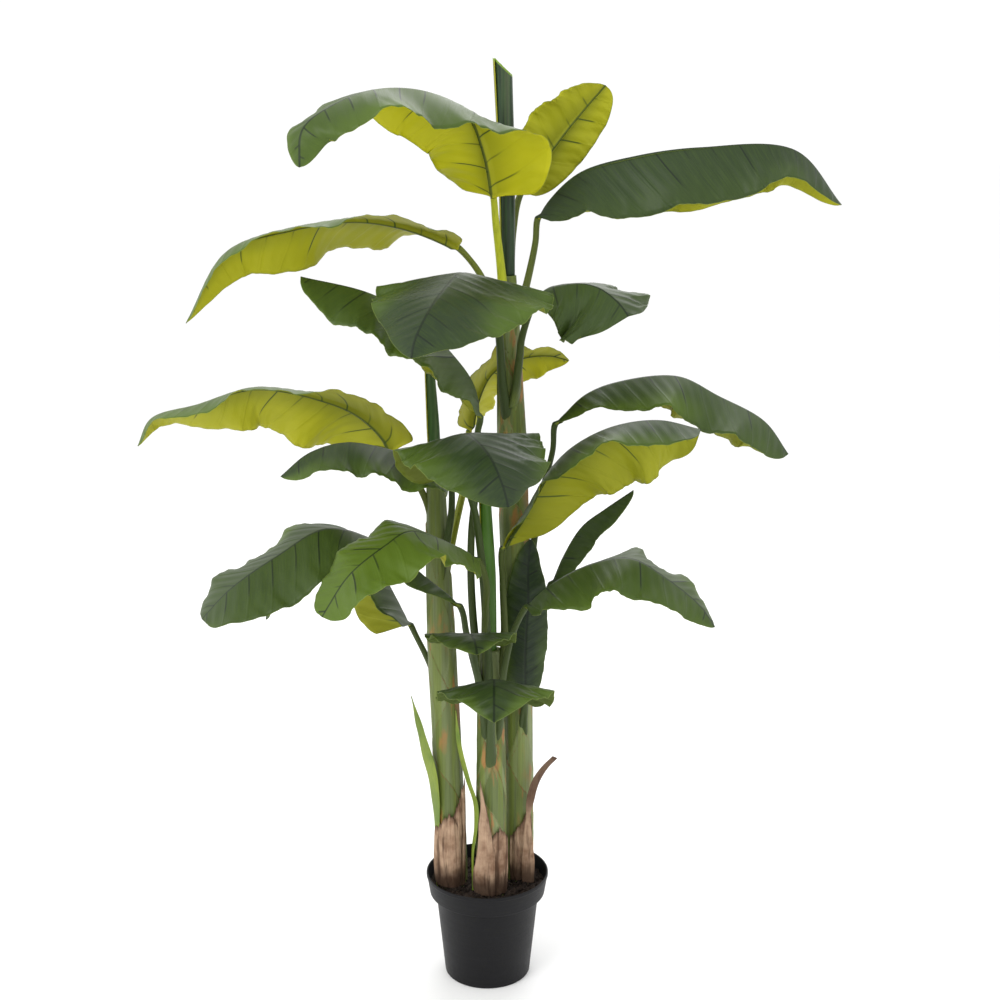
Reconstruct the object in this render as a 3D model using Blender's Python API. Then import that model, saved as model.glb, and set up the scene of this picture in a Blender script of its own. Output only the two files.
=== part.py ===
"""Potted banana plant, 1.80 m tall: three stems in a turned plastic pot, twenty-one open
leaves, three rolled leaves, two sprouts and six dry husks.

Lengths are in metres, those of the leaves' routes in millimetres, and +Z is up. The pot's
axis is the Z axis and its foot stands on Z = 0. An azimuth is in degrees, from +X towards +Y.
"""
import math

import bpy
import numpy as np

GAP = 0.0003
MM = 0.001

POT_HEIGHT = 0.218
POT_RIM_RADIUS = 0.1225
POT_LIP_HEIGHT = 0.044
POT_LIP_LOW_RADIUS = 0.1155
POT_BODY_TOP_RADIUS = 0.1035
POT_FOOT_RADIUS = 0.0855
POT_FOOT_ROUND = 0.004
POT_WALL = 0.003
POT_SIDES = 48

SOIL_TOP = 0.195
HOLE_DEPTH = 0.015

STEM_SIDES = 14
STEM_FOOT_RADIUS = 0.030
STEM_FOOT_RISE = 0.004   # height above the soil up to which a stem keeps its foot's radius
SHEATH_STEP = 0.0015     # how far a sheath's edge stands out from the stem
SHEATH_EDGE = 0.003      # height of that step
SHEATH_SLANT = 0.018     # rise of a sheath's edge from one side of the stem to the other

STALK_SIDES = 8
STALK_SECTIONS = 7
STALK_ROOT_RADIUS = 0.008
STALK_END_RADIUS = 0.0052

BLADE_STATIONS = 14
BLADE_OUTLINE = (0.42, 0.62)   # usual powers of the outline towards the base and towards the tip
EVEN_SHARE = 0.35              # share of even spacing of the stations, which else crowd at both ends
HALF_STEPS = 2                 # facets from the midrib to the margin
RIB_DEPTH = (0.011, 0.002)     # blade with its midrib, at the base and at the tip
HALF_THICK = (0.0016, 0.0010)  # half way to the margin, and at the margin
TIP_HALF_WIDTH = 0.005

# Centre lines of the stems in millimetres, with radii in metres at equal heights
STEMS = {
    "stem_tall": dict(
        route=[(62, 30, 180), (62, 30, 205), (61, 30, 500), (54, 30, 900), (45, 30, 1200),
               (40, 30, 1410)],
        radii=(0.030, 0.029, 0.028, 0.027, 0.016),
        sheaths=(330, 470, 640, 820, 1000, 1180, 1320),
    ),
    "stem_middle": dict(
        route=[(8, -35, 180), (8, -35, 205), (8, -35, 450), (6, -35, 700)],
        radii=(0.030, 0.029, 0.026, 0.021),
        sheaths=(320, 430, 545, 640),
    ),
    "stem_left": dict(
        route=[(-71, 0, 180), (-71, 0, 205), (-78, 0, 450), (-90, 0, 750), (-96, 0, 1020)],
        radii=(0.030, 0.028, 0.026, 0.018),
        sheaths=(340, 480, 620, 780, 920),
    ),
}

# Rolled young leaves, each standing on the top of its stem
ROLLED = {
    "rolled_leaf_tall": dict(
        route=[(40, 30, 1410), (38, 30, 1600), (31, 30, 1793)],
        radii=(0.014, 0.016, 0.019),
    ),
    "rolled_leaf_middle": dict(
        route=[(6, -35, 700), (4, -35, 850), (-2, -35, 1000)],
        radii=(0.014, 0.015, 0.013),
    ),
    "rolled_leaf_left": dict(
        route=[(-96, 0, 1020), (-100, 0, 1130), (-105, 0, 1240)],
        radii=(0.013, 0.013, 0.011),
    ),
}
ROLL_SIDES = 12
ROLL_SECTIONS = 5
ROLL_MOUTH_SLANT = 0.007

# Open leaves, from the top of the plant down. A route runs along the stalk and the midrib, and
# the blade begins at its point number blade_from. Powers near 1 make an end of the blade
# pointed, lower ones make it blunt. Left and right are seen along the leaf from its root. widths
# holds the two half widths, and droop_left and droop_right the degrees by which each half hangs
# below the level through the midrib, at equal steps along the blade.
LEAVES = {
    "leaf_01": dict(
        stem="stem_tall", azimuth=233, blade_from=3, widths=(0.135, 0.100), ripple=5,
        powers=(0.28, 0.62),
        route=[(36, 14, 1330), (27, 2, 1430), (18, -12, 1510), (14, -20, 1555), (0, -58, 1635),
               (-30, -100, 1705), (-95, -150, 1740), (-175, -200, 1745), (-245, -250, 1720),
               (-295, -290, 1680), (-300, -310, 1620)],
        droop_left=(-20, -15, 18, 30, 0, 14, 40), droop_right=(10, 35, 55, 45, 10, 12, 0),
    ),
    "leaf_02": dict(
        stem="stem_tall", azimuth=275, blade_from=3, widths=(0.058, 0.078), ripple=6,
        powers=(0.42, 0.42),
        route=[(44, 46, 1325), (45, 52, 1415), (50, 68, 1490), (64, 88, 1555), (102, 82, 1610),
               (145, 68, 1668), (186, 48, 1718), (216, 28, 1752)],
        droop_left=(10, 5, 10), droop_right=(10, 5, 10),
    ),
    "leaf_03": dict(
        stem="stem_tall", azimuth=352, blade_from=3, widths=(0.120, 0.120), ripple=8,
        route=[(55, 25, 1320), (78, 28, 1410), (90, 24, 1470), (95, 20, 1515), (115, 15, 1550),
               (170, 0, 1600), (270, -20, 1630), (385, -30, 1645), (550, -50, 1640), (635, -60, 1545)],
        droop_left=(40, 65, 65, 50), droop_right=(30, 55, 50, 10),
    ),
    "leaf_04": dict(
        stem="stem_tall", azimuth=190, blade_from=3, widths=(0.095, 0.105), ripple=7,
        powers=(0.42, 0.8),
        route=[(38, 26, 1270), (15, 12, 1350), (-10, 0, 1415), (-50, -20, 1465), (-85, -30, 1485),
               (-155, -50, 1510), (-235, -60, 1520), (-345, -80, 1505), (-460, -100, 1465),
               (-535, -110, 1340)],
        droop_left=(-25, -10, -6, 5), droop_right=(0, 30, 58, 40),
    ),
    "leaf_05": dict(
        stem="stem_tall", azimuth=255, blade_from=4, widths=(0.176, 0.142), ripple=4,
        powers=(0.42, 0.8),
        route=[(44, 22, 1110), (30, -5, 1215), (25, -20, 1295), (15, -60, 1375), (-15, -130, 1420),
               (-40, -200, 1440), (-65, -300, 1425), (-90, -380, 1395), (-110, -430, 1355),
               (-115, -450, 1330)],
        droop_left=(10, 8, 15), droop_right=(10, 6, 15),
    ),
    "leaf_06": dict(
        stem="stem_tall", azimuth=335, blade_from=3, widths=(0.120, 0.120), ripple=6,
        powers=(0.8, 0.3),
        route=[(52, 15, 1170), (62, -20, 1270), (65, -30, 1300), (85, -60, 1365), (105, -70, 1395),
               (160, -100, 1410), (200, -130, 1405), (235, -160, 1380), (250, -170, 1360)],
        droop_left=(0, 5, -12), droop_right=(12, 30, 50, 52),
    ),
    "leaf_07": dict(
        stem="stem_middle", azimuth=200, blade_from=6, widths=(0.135, 0.120), ripple=6,
        powers=(0.6, 0.5),
        route=[(2, -32, 600), (-18, -22, 690), (-28, -22, 800), (-28, -35, 930), (-15, -60, 1060),
               (-15, -80, 1135), (-10, -90, 1165), (-20, -90, 1225), (-60, -100, 1285),
               (-125, -110, 1350), (-205, -120, 1395), (-325, -130, 1425)],
        droop_left=(30, 28, 26), droop_right=(20, 20, 20),
    ),
    "leaf_08": dict(
        stem="stem_left", azimuth=30, blade_from=3, widths=(0.085, 0.088), ripple=8,
        powers=(0.3, 0.62),
        route=[(-90, 5, 790), (-62, 55, 920), (-40, 88, 1020), (-35, 100, 1100), (-20, 110, 1165),
               (10, 120, 1215), (65, 130, 1240), (120, 130, 1245), (160, 130, 1235)],
        droop_left=(40, 60, 50), droop_right=(-60, -52, -20),
    ),
    "leaf_09": dict(
        stem="stem_left", azimuth=190, blade_from=3, widths=(0.100, 0.125), ripple=8,
        powers=(0.28, 0.62),
        route=[(-98, 0, 900), (-112, 0, 980), (-142, 0, 1040), (-175, 0, 1080), (-190, 0, 1110),
               (-230, 0, 1150), (-285, -10, 1180), (-425, -30, 1210), (-535, -40, 1180),
               (-620, -50, 1155), (-645, -60, 1105)],
        droop_left=(-45, -20, -6, 5), droop_right=(40, 52, 46, 18),
    ),
    "leaf_10": dict(
        stem="stem_left", azimuth=195, blade_from=3, widths=(0.105, 0.095), ripple=8,
        route=[(-88, -6, 840), (-72, -30, 930), (-64, -55, 990), (-68, -80, 1045),
               (-100, -110, 1085), (-155, -140, 1112), (-245, -180, 1138), (-310, -210, 1125),
               (-360, -220, 1085)],
        droop_left=(15, 18, 20), droop_right=(15, 20, 20),
    ),
    "leaf_11": dict(
        stem="stem_middle", azimuth=300, blade_from=5, widths=(0.146, 0.130), ripple=5,
        route=[(6, -42, 570), (2, -62, 690), (-4, -80, 830), (-18, -105, 975), (-32, -142, 1040),
               (-50, -185, 1080), (-55, -210, 1135), (-38, -245, 1168), (5, -320, 1148),
               (30, -370, 1105), (40, -382, 1070)],
        droop_left=(0, 5, 10), droop_right=(-8, 10, 22),
    ),
    "leaf_12": dict(
        stem="stem_tall", azimuth=355, blade_from=4, widths=(0.108, 0.110), ripple=7,
        powers=(0.8, 0.45),
        route=[(60, 30, 720), (80, 28, 820), (102, 28, 980), (125, 20, 1080), (130, 20, 1130),
               (150, 20, 1155), (185, 10, 1190), (240, 0, 1215), (355, -20, 1230), (430, -30, 1195),
               (515, -50, 1150), (560, -60, 1090)],
        droop_left=(40, 45, 45), droop_right=(25, 24, 22, 22),
    ),
    "leaf_13": dict(
        stem="stem_middle", azimuth=345, blade_from=3, widths=(0.130, 0.090), ripple=9,
        powers=(0.75, 0.35),
        route=[(14, -38, 620), (32, -36, 700), (30, -26, 835), (30, -30, 900), (70, -50, 975),
               (115, -70, 1060), (160, -100, 1115), (230, -120, 1155), (310, -140, 1170),
               (385, -150, 1155)],
        droop_left=(65, 68, 65, 62), droop_right=(0, 8, 12),
    ),
    "leaf_14": dict(
        stem="stem_tall", azimuth=10, blade_from=3, widths=(0.036, 0.046), ripple=4,
        route=[(65, 32, 620), (88, 40, 710), (108, 48, 760), (125, 50, 805), (150, 55, 865),
               (185, 60, 920), (230, 60, 955), (285, 70, 990)],
        droop_left=(60, 50, 40), droop_right=(30, 40, 40),
    ),
    "leaf_15": dict(
        stem="stem_middle", azimuth=340, blade_from=4, widths=(0.098, 0.105), ripple=10,
        route=[(12, -42, 470), (26, -54, 570), (32, -60, 660), (50, -68, 745), (75, -80, 800),
               (110, -90, 840), (190, -120, 895), (265, -150, 915), (325, -170, 885),
               (390, -190, 835), (415, -200, 800)],
        droop_left=(15, 5, 0), droop_right=(15, 26, 12, 10),
    ),
    "leaf_16": dict(
        stem="stem_tall", azimuth=85, blade_from=2, widths=(0.050, 0.045), ripple=5,
        route=[(68, 24, 470), (72, 0, 540), (75, -10, 585), (75, -15, 690), (80, -15, 795),
               (80, -10, 860), (85, 0, 910)],
        droop_left=(0, 0, 0), droop_right=(20, 20, 20),
    ),
    "leaf_17": dict(
        stem="stem_middle", azimuth=205, blade_from=4, widths=(0.122, 0.115), ripple=6,
        powers=(0.85, 0.33),
        route=[(4, -38, 560), (-14, -52, 640), (-28, -62, 700), (-38, -68, 745), (-50, -76, 800),
               (-112, -88, 862), (-203, -110, 938), (-290, -145, 970), (-375, -185, 930),
               (-455, -225, 880), (-505, -245, 830)],
        droop_left=(35, 24, 20, 2), droop_right=(20, 6, 4, 0),
    ),
    "leaf_18": dict(
        stem="stem_left", azimuth=185, blade_from=3, widths=(0.090, 0.110), ripple=12,
        powers=(0.22, 0.62),
        route=[(-80, 0, 470), (-94, 14, 550), (-105, 30, 625), (-150, 50, 720), (-185, 60, 790),
               (-230, 70, 870), (-285, 60, 920), (-370, 50, 920), (-420, 40, 855), (-435, 40, 735)],
        droop_left=(10, 10, 30), droop_right=(60, 60, 35, 20),
    ),
    "leaf_19": dict(
        stem="stem_middle", azimuth=215, blade_from=4, widths=(0.110, 0.080), ripple=7,
        powers=(0.42, 0.36),
        route=[(2, -42, 600), (-2, -62, 700), (-2, -78, 790), (0, -90, 850), (-15, -110, 900),
               (-60, -160, 945), (-135, -220, 985), (-175, -260, 970), (-235, -310, 930),
               (-280, -340, 865)],
        droop_left=(25, 8, -8), droop_right=(5, -5, -6),
    ),
    "leaf_20": dict(
        stem="stem_middle", azimuth=265, blade_from=3, widths=(0.088, 0.084), ripple=5,
        powers=(0.42, 0.9),
        route=[(4, -45, 480), (-8, -65, 600), (-20, -85, 680), (-30, -120, 750), (-30, -160, 775),
               (-20, -220, 780), (-15, -250, 765)],
        droop_left=(8, -4, 5), droop_right=(8, -4, 5),
    ),
    "leaf_21": dict(
        stem="stem_middle", azimuth=270, blade_from=3, widths=(0.118, 0.114), ripple=4,
        powers=(0.42, 1.0),
        route=[(8, -48, 440), (8, -75, 540), (10, -95, 590), (10, -120, 645), (15, -170, 690),
               (15, -240, 695), (15, -300, 655)],
        droop_left=(20, 8, 12), droop_right=(20, 8, 12),
    ),
}
CURL = 12            # further degrees of droop from the midrib to the margin
RIPPLES = 3.3        # waves of the margin along a blade

# Young shoots straight from the soil: route, the azimuth the flat side faces, half widths and
# half thicknesses
SPROUTS = {
    "sprout_left": dict(
        route=[(-100, -20, 180), (-100, -20, 205), (-100, -20, 255), (-99, -20, 300), (-100, -20, 340),
               (-102, -23, 380), (-107, -26, 430), (-117, -26, 475), (-130, -26, 530), (-147, -26, 600)],
        facing=215,
        widths=(0.003, 0.003, 0.0095, 0.0150, 0.017, 0.010, 0.001),
        thicks=(0.0025, 0.0020, 0.0013, 0.0012, 0.0012, 0.0012, 0.001),
    ),
    "sprout_right": dict(
        route=[(-28, -42, 180), (-28, -42, 205), (-28, -45, 280), (-22, -53, 335), (-22, -54, 385),
               (-37, -50, 435), (-54, -50, 510), (-60, -50, 580)],
        facing=210,
        widths=(0.003, 0.0035, 0.006, 0.0095, 0.0085, 0.007, 0.001),
        thicks=(0.0025, 0.0020, 0.0013, 0.0012, 0.0012, 0.0012, 0.001),
    ),
}
SPROUT_SECTIONS = 12

# Dry sheaths wrapped round the stems' feet, standing on the soil
HUSK_THICK = 0.0020
HUSK_COLUMNS = 9
HUSK_ROWS = 6
HUSK_TEETH = 0.04    # depth of the notches in the torn edge, as a share of the height
HUSK_FALL = 0.8      # power of the torn edge's fall on both sides of its peak
HUSK_BEND = 4        # power of the height with which a husk's lean grows
HUSKS = {
    "husk_left_outer": dict(
        stem="stem_left", azimuth=251, spread=48, radius=0.0400, lean=0,
        height=0.168, peak=0.3, jag=0.22,
    ),
    "husk_left_inner": dict(
        stem="stem_left", azimuth=292, spread=33, radius=0.0370, lean=0,
        height=0.240, peak=0.85, jag=0.27,
    ),
    "husk_middle_outer": dict(
        stem="stem_middle", azimuth=243, spread=38, radius=0.0410, lean=-26,
        height=0.262, peak=0.25, jag=0.75,
    ),
    "husk_middle_inner": dict(
        stem="stem_middle", azimuth=300, spread=45, radius=0.0375, lean=0,
        height=0.150, peak=0.0, jag=0.20,
    ),
    "husk_right": dict(
        stem="stem_tall", azimuth=283, spread=40, radius=0.0370, lean=0,
        height=0.160, peak=0.6, jag=0.25,
    ),
}

# A strip of dry sheath that stands up beside the tall stem and bends away
HUSK_CURL = dict(
    route=[(82, -13, 195.3), (82, -13, 250), (81, -13, 320), (85, -13, 370), (96, -14, 415),
           (113, -15, 445), (134, -15, 468)],
    widths=(0.012, 0.013, 0.009, 0.0045, 0.009, 0.0105, 0.009),
    thicks=(0.0012, 0.0012, 0.0012, 0.0012, 0.0012, 0.0012, 0.001),
)
HUSK_CURL_SECTIONS = 9


def clear_scene():
    """Remove whatever the opened scene holds."""
    for found in list(bpy.data.objects):
        bpy.data.objects.remove(found, do_unlink=True)


def material(name, colour, roughness):
    """A plain Principled material."""
    made = bpy.data.materials.new(name)
    made.use_nodes = True
    shader = made.node_tree.nodes["Principled BSDF"]
    shader.inputs["Base Color"].default_value = (*colour, 1.0)
    shader.inputs["Roughness"].default_value = roughness
    return made


def add_mesh(name, points, faces, look):
    """A smooth-shaded object from points and faces, with its own copy of a look."""
    mesh = bpy.data.meshes.new(name)
    mesh.from_pydata([tuple(point) for point in points], [], [tuple(face) for face in faces])
    mesh.materials.append(material(name, *look))
    mesh.shade_smooth()
    made = bpy.data.objects.new(name, mesh)
    bpy.context.scene.collection.objects.link(made)
    return made


def loft(name, rings, look, sheet=False):
    """A closed solid through rings of points, all of one count, with flat ends.

    On a sheet the ring's second half lies under its first half, and there the four-sided
    patches are cut along their other diagonal, so that both faces bend alike.
    """
    rings = np.asarray(rings)
    count, sides = rings.shape[:2]
    faces = []
    for row in range(count - 1):
        for side in range(sides):
            after = (side + 1) % sides
            near, far = row * sides, (row + 1) * sides
            if sheet and side >= sides // 2:
                faces.append((near + side, near + after, far + side))
                faces.append((near + after, far + after, far + side))
            else:
                faces.append((near + side, near + after, far + after))
                faces.append((near + side, far + after, far + side))
    faces.append(tuple(range(sides - 1, -1, -1)))
    last = (count - 1) * sides
    faces.append(tuple(last + side for side in range(sides)))
    return add_mesh(name, rings.reshape(-1, 3), faces, look)


def turned(name, profile, sides, look):
    """A solid turned about Z from a closed outline of (radius, height), listed from the foot up
    the outside. Points on the axis become one point each."""
    points = []
    rows = []
    for radius, height in profile:
        if radius == 0:
            rows.append([len(points)] * sides)
            points.append((0.0, 0.0, height))
            continue
        rows.append(list(range(len(points), len(points) + sides)))
        for side in range(sides):
            turn = math.tau * side / sides
            points.append((radius * math.cos(turn), radius * math.sin(turn), height))
    faces = []
    pairs = list(zip(rows, rows[1:] + rows[:1]))
    for low, high in pairs:
        for side in range(sides):
            after = (side + 1) % sides
            corners = [low[side], low[after], high[after], high[side]]
            face = [c for index, c in enumerate(corners) if c not in corners[:index]]
            if len(face) > 2:
                faces.append(face)
    return add_mesh(name, points, faces, look)


def boolean(target, tool, operation):
    """Apply a Boolean of the tool to the target at once, and remove the tool."""
    cut = target.modifiers.new(operation.lower(), "BOOLEAN")
    cut.operation = operation
    cut.object = tool
    graph = bpy.context.evaluated_depsgraph_get()
    result = bpy.data.meshes.new_from_object(target.evaluated_get(graph))
    target.modifiers.remove(cut)
    target.data = result
    bpy.data.objects.remove(tool, do_unlink=True)


def smooth_route(route, samples=400):
    """A dense centripetal Catmull-Rom curve through points in millimetres.

    Returns the points in metres, the length run at each, and the length run at each given point.
    """
    points = np.asarray(route, float) * MM
    steps = np.sqrt(np.linalg.norm(np.diff(points, axis=0), axis=1))
    knots = np.concatenate([[0.0], np.cumsum(steps)])
    ends = np.vstack([2 * points[0] - points[1], points, 2 * points[-1] - points[-2]])
    spans = np.concatenate([[-knots[1]], knots, [2 * knots[-1] - knots[-2]]])
    where = np.unique(np.concatenate([np.linspace(0, knots[-1], samples), knots]))
    first = np.clip(np.searchsorted(knots, where, side="right") - 1, 0, len(points) - 2)
    t = [spans[first + k][:, None] for k in range(4)]
    p = [ends[first + k] for k in range(4)]
    u = where[:, None]

    def mix(a, b, low, high):
        return ((high - u) * a + (u - low) * b) / (high - low)

    near, middle, far = (mix(p[k], p[k + 1], t[k], t[k + 1]) for k in range(3))
    curve = mix(mix(near, middle, t[0], t[2]), mix(middle, far, t[1], t[3]), t[1], t[2])
    run = np.concatenate([[0.0], np.cumsum(np.linalg.norm(np.diff(curve, axis=0), axis=1))])
    return curve, run, np.interp(knots, where, run)


def along(curve, run, lengths):
    """Places and unit directions of a dense curve at the lengths given."""
    step = run[-1] * 0.004

    def place(at):
        at = np.clip(at, 0, run[-1])
        return np.stack([np.interp(at, run, curve[:, axis]) for axis in range(3)], -1)

    ahead = place(lengths + step) - place(lengths - step)
    return place(lengths), ahead / np.linalg.norm(ahead, axis=-1, keepdims=True)


def eased(values, where):
    """Values at equal steps from 0 to 1, read with eased turns at each."""
    values = np.asarray(values, float)
    if len(values) == 1:
        return np.full_like(where, values[0])
    scaled = np.clip(where, 0, 1) * (len(values) - 1)
    low = np.minimum(scaled.astype(int), len(values) - 2)
    part = scaled - low
    part = part * part * (3 - 2 * part)
    return values[low] * (1 - part) + values[low + 1] * part


def leaf_frames(azimuth, ahead):
    """The level side direction and the upper-face direction along a leaf."""
    turn = math.radians(azimuth)
    side = np.array([math.sin(turn), -math.cos(turn), 0.0])
    side = side - (ahead @ side)[:, None] * ahead
    side /= np.linalg.norm(side, axis=-1, keepdims=True)
    return side, np.cross(side, ahead)


def outline(where, powers):
    """Half width of a blade as a share of its widest, from the base at 0 to the tip at 1."""
    low, high = powers
    widest = low / (low + high)
    return (where / widest) ** low * ((1 - where) / (1 - widest)) ** high


def stalk(leaf):
    """The stalk of a leaf as a round tapered solid, which ends just short of the blade."""
    curve, run, marks = smooth_route(leaf["route"])
    end = marks[leaf["blade_from"]] - GAP
    lengths = np.linspace(0, end, STALK_SECTIONS)
    places, ahead = along(curve, run, lengths)
    side, up = leaf_frames(leaf["azimuth"], ahead)
    radii = np.linspace(STALK_ROOT_RADIUS, STALK_END_RADIUS, STALK_SECTIONS)
    rings = []
    for k in range(STALK_SECTIONS):
        turns = math.tau * np.arange(STALK_SIDES) / STALK_SIDES
        spokes = np.outer(np.cos(turns), side[k]) + np.outer(np.sin(turns), -up[k])
        rings.append(places[k] + radii[k] * spokes)
    return loft("stalk", rings, STEM_LOOK)


def blade(name, leaf, seed):
    """A leaf blade with its midrib: a round butt at the stalk, then a thin sheet of two drooping
    halves with a rippled margin, thickest along the midrib."""
    curve, run, marks = smooth_route(leaf["route"])
    start = marks[leaf["blade_from"]]
    even = np.arange(BLADE_STATIONS + 1) / BLADE_STATIONS
    where = EVEN_SHARE * even + (1 - EVEN_SHARE) * (1 - np.cos(math.pi * even)) / 2
    places, ahead = along(curve, run, start + (run[-1] - start) * where)
    side, up = leaf_frames(leaf["azimuth"], ahead)
    ribs = np.interp(where, (0, 1), RIB_DEPTH)[:, None]
    mids = np.arange(HALF_STEPS) / HALF_STEPS + 0.5 / HALF_STEPS
    powers = leaf.get("powers", BLADE_OUTLINE)
    halves = []
    for sign, half, key in ((-1, 0, "droop_left"), (1, 1, "droop_right")):
        width = np.maximum(leaf["widths"][half] * outline(where, powers), TIP_HALF_WIDTH)
        phase = seed * (1.3 + 0.8 * half) + half
        ripple = leaf["ripple"] * np.sin(math.tau * RIPPLES * where + phase)
        point = places
        row = []
        for step in range(HALF_STEPS):
            angle = eased(leaf[key], where) + CURL * mids[step] + ripple * mids[step] ** 0.5
            angle = np.radians(angle)[:, None]
            out = sign * side * np.cos(angle) - up * np.sin(angle)
            face = up * np.cos(angle) + sign * side * np.sin(angle)
            point = point + out * (width / HALF_STEPS)[:, None]
            row.append((point, point - face * HALF_THICK[step]))
        halves.append(row)
    left, right = halves
    above = [pair[0] for pair in reversed(left)] + [places] + [pair[0] for pair in right]
    below = [pair[1] for pair in reversed(left)] + [places - up * ribs] + [pair[1] for pair in right]
    rings = np.stack(above + below[::-1], axis=1)
    count = rings.shape[1]
    turns = math.pi - math.tau * (np.arange(count) + 0.5) / count
    spokes = np.outer(np.cos(turns), side[0]) + np.outer(np.sin(turns), up[0])
    rings[0] = places[0] + STALK_END_RADIUS * spokes
    return loft(name, rings, LEAF_LOOK, sheet=True)


def stem(name, shape):
    """A stem of overlapping sheaths, with the stalks of its leaves.

    Below each slanting edge of a sheath the stem is a step wider. Up to its route's second
    point the stem is upright.
    """
    curve, _, _ = smooth_route(shape["route"])
    low, top = curve[0, 2], curve[-1, 2]
    levels = [(low, 0.0, STEM_FOOT_RADIUS), (SOIL_TOP + STEM_FOOT_RISE, 0.0, STEM_FOOT_RADIUS)]

    def radius_at(height):
        return float(np.interp(height, np.linspace(SOIL_TOP, top, len(shape["radii"])), shape["radii"]))

    for index, height in enumerate(shape["sheaths"]):
        slant = SHEATH_SLANT * (1 if index % 2 else -1)
        at = height * MM
        levels.append((at - SHEATH_EDGE / 2, slant, radius_at(at) + SHEATH_STEP))
        levels.append((at + SHEATH_EDGE / 2, slant, radius_at(at)))
    levels.append((top, 0.0, radius_at(top)))
    turns = math.tau * np.arange(STEM_SIDES) / STEM_SIDES
    rings = []
    for height, slant, radius in levels:
        heights = height + slant * np.cos(turns)
        straight = np.maximum(heights, shape["route"][1][2] * MM)
        centre_x = np.interp(straight, curve[:, 2], curve[:, 0])
        centre_y = np.interp(straight, curve[:, 2], curve[:, 1])
        x, y = centre_x + radius * np.cos(turns), centre_y + radius * np.sin(turns)
        rings.append(np.stack([x, y, heights], -1))
    made = loft(name, rings, STEM_LOOK)
    for leaf in LEAVES.values():
        if leaf["stem"] == name:
            boolean(made, stalk(leaf), "UNION")
    return made


def rolled_leaf(name, shape):
    """A leaf still rolled to a tube, with a slanting mouth."""
    curve, run, _ = smooth_route(shape["route"])
    places, _ = along(curve, run, np.linspace(0, run[-1], ROLL_SECTIONS))
    places[:, 2] += GAP
    given = np.linspace(0, 1, len(shape["radii"]))
    radii = np.interp(np.linspace(0, 1, ROLL_SECTIONS), given, shape["radii"])
    turns = math.tau * np.arange(ROLL_SIDES) / ROLL_SIDES
    rings = []
    for index, (place, radius) in enumerate(zip(places, radii)):
        slant = -ROLL_MOUTH_SLANT if index == ROLL_SECTIONS - 1 else 0.0
        offsets = np.stack([radius * np.cos(turns), radius * np.sin(turns), slant * np.cos(turns)], -1)
        rings.append(place + offsets)
    return loft(name, rings, ROLLED_LOOK)


def flat_shoot(name, shape, sections, sides, facing, look):
    """A tapering shoot or strip of oval section along a route, its flat face turned to facing."""
    curve, run, marks = smooth_route(shape["route"])
    foot = marks[1] / run[-1]
    share = np.concatenate([[0.0], np.linspace(foot, 1, sections - 1)])
    places, ahead = along(curve, run, share * run[-1])
    ahead[0] = ahead[1] = (0, 0, 1)
    side, up = leaf_frames(facing, ahead)
    widths = eased(shape["widths"], share)
    thicks = eased(shape["thicks"], share)
    turns = math.tau * (np.arange(sides) + 0.5) / sides
    rings = []
    for k in range(sections):
        rings.append(places[k] + widths[k] * np.outer(np.cos(turns), side[k])
                     - thicks[k] * np.outer(np.sin(turns), up[k]))
    return loft(name, rings, look)


def husk(name, shape):
    """A dry sheath: a shell round part of a stem's foot, with a torn upper edge."""
    centre = np.array(STEMS[shape["stem"]]["route"][1][:2]) * MM
    share = np.linspace(-1, 1, HUSK_COLUMNS)
    rise = np.linspace(0, 1, HUSK_ROWS)
    rings = []
    for number, across in enumerate(share):
        fall = shape["jag"] * abs(across - shape["peak"]) ** HUSK_FALL
        reach = rise * (1 - fall - HUSK_TEETH * (number % 2))
        heights = SOIL_TOP + GAP + shape["height"] * reach
        lean = shape["lean"] * (1 - across ** 2) * reach ** HUSK_BEND
        turn = np.radians(shape["azimuth"] + shape["spread"] * across + lean)
        spokes = np.column_stack([np.cos(turn), np.sin(turn)])
        outer = np.column_stack([centre + shape["radius"] * spokes, heights])
        inner = np.column_stack([centre + (shape["radius"] - HUSK_THICK) * spokes, heights])
        rings.append(np.concatenate([inner, outer[::-1]]))
    return loft(name, rings, HUSK_LOOK, sheet=True)


def pot_inside(clearance):
    """The pot's inner outline from the floor's edge up to the soil's level, less a clearance."""
    lip_low = POT_HEIGHT - POT_LIP_HEIGHT
    mouth = POT_RIM_RADIUS - POT_WALL
    throat = POT_LIP_LOW_RADIUS - POT_WALL
    at_soil = throat + (mouth - throat) * (SOIL_TOP - lip_low) / POT_LIP_HEIGHT
    return [
        (POT_FOOT_RADIUS - POT_WALL - clearance, POT_WALL + clearance),
        (POT_BODY_TOP_RADIUS - POT_WALL - clearance, lip_low + POT_WALL + clearance),
        (throat - clearance, lip_low + POT_WALL + clearance),
        (at_soil - clearance, SOIL_TOP),
    ]


def pot():
    """The turned pot: a flat foot, a slightly conical body and a deeper lip."""
    lip_low = POT_HEIGHT - POT_LIP_HEIGHT
    profile = [(0, 0), (POT_FOOT_RADIUS - POT_FOOT_ROUND, 0), (POT_FOOT_RADIUS, POT_FOOT_ROUND),
               (POT_BODY_TOP_RADIUS, lip_low), (POT_LIP_LOW_RADIUS, lip_low), (POT_RIM_RADIUS, POT_HEIGHT),
               (POT_RIM_RADIUS - POT_WALL, POT_HEIGHT)]
    profile += pot_inside(0.0)[2::-1]
    profile.append((0, POT_WALL))
    turned("pot", profile, POT_SIDES, POT_LOOK)


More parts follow.
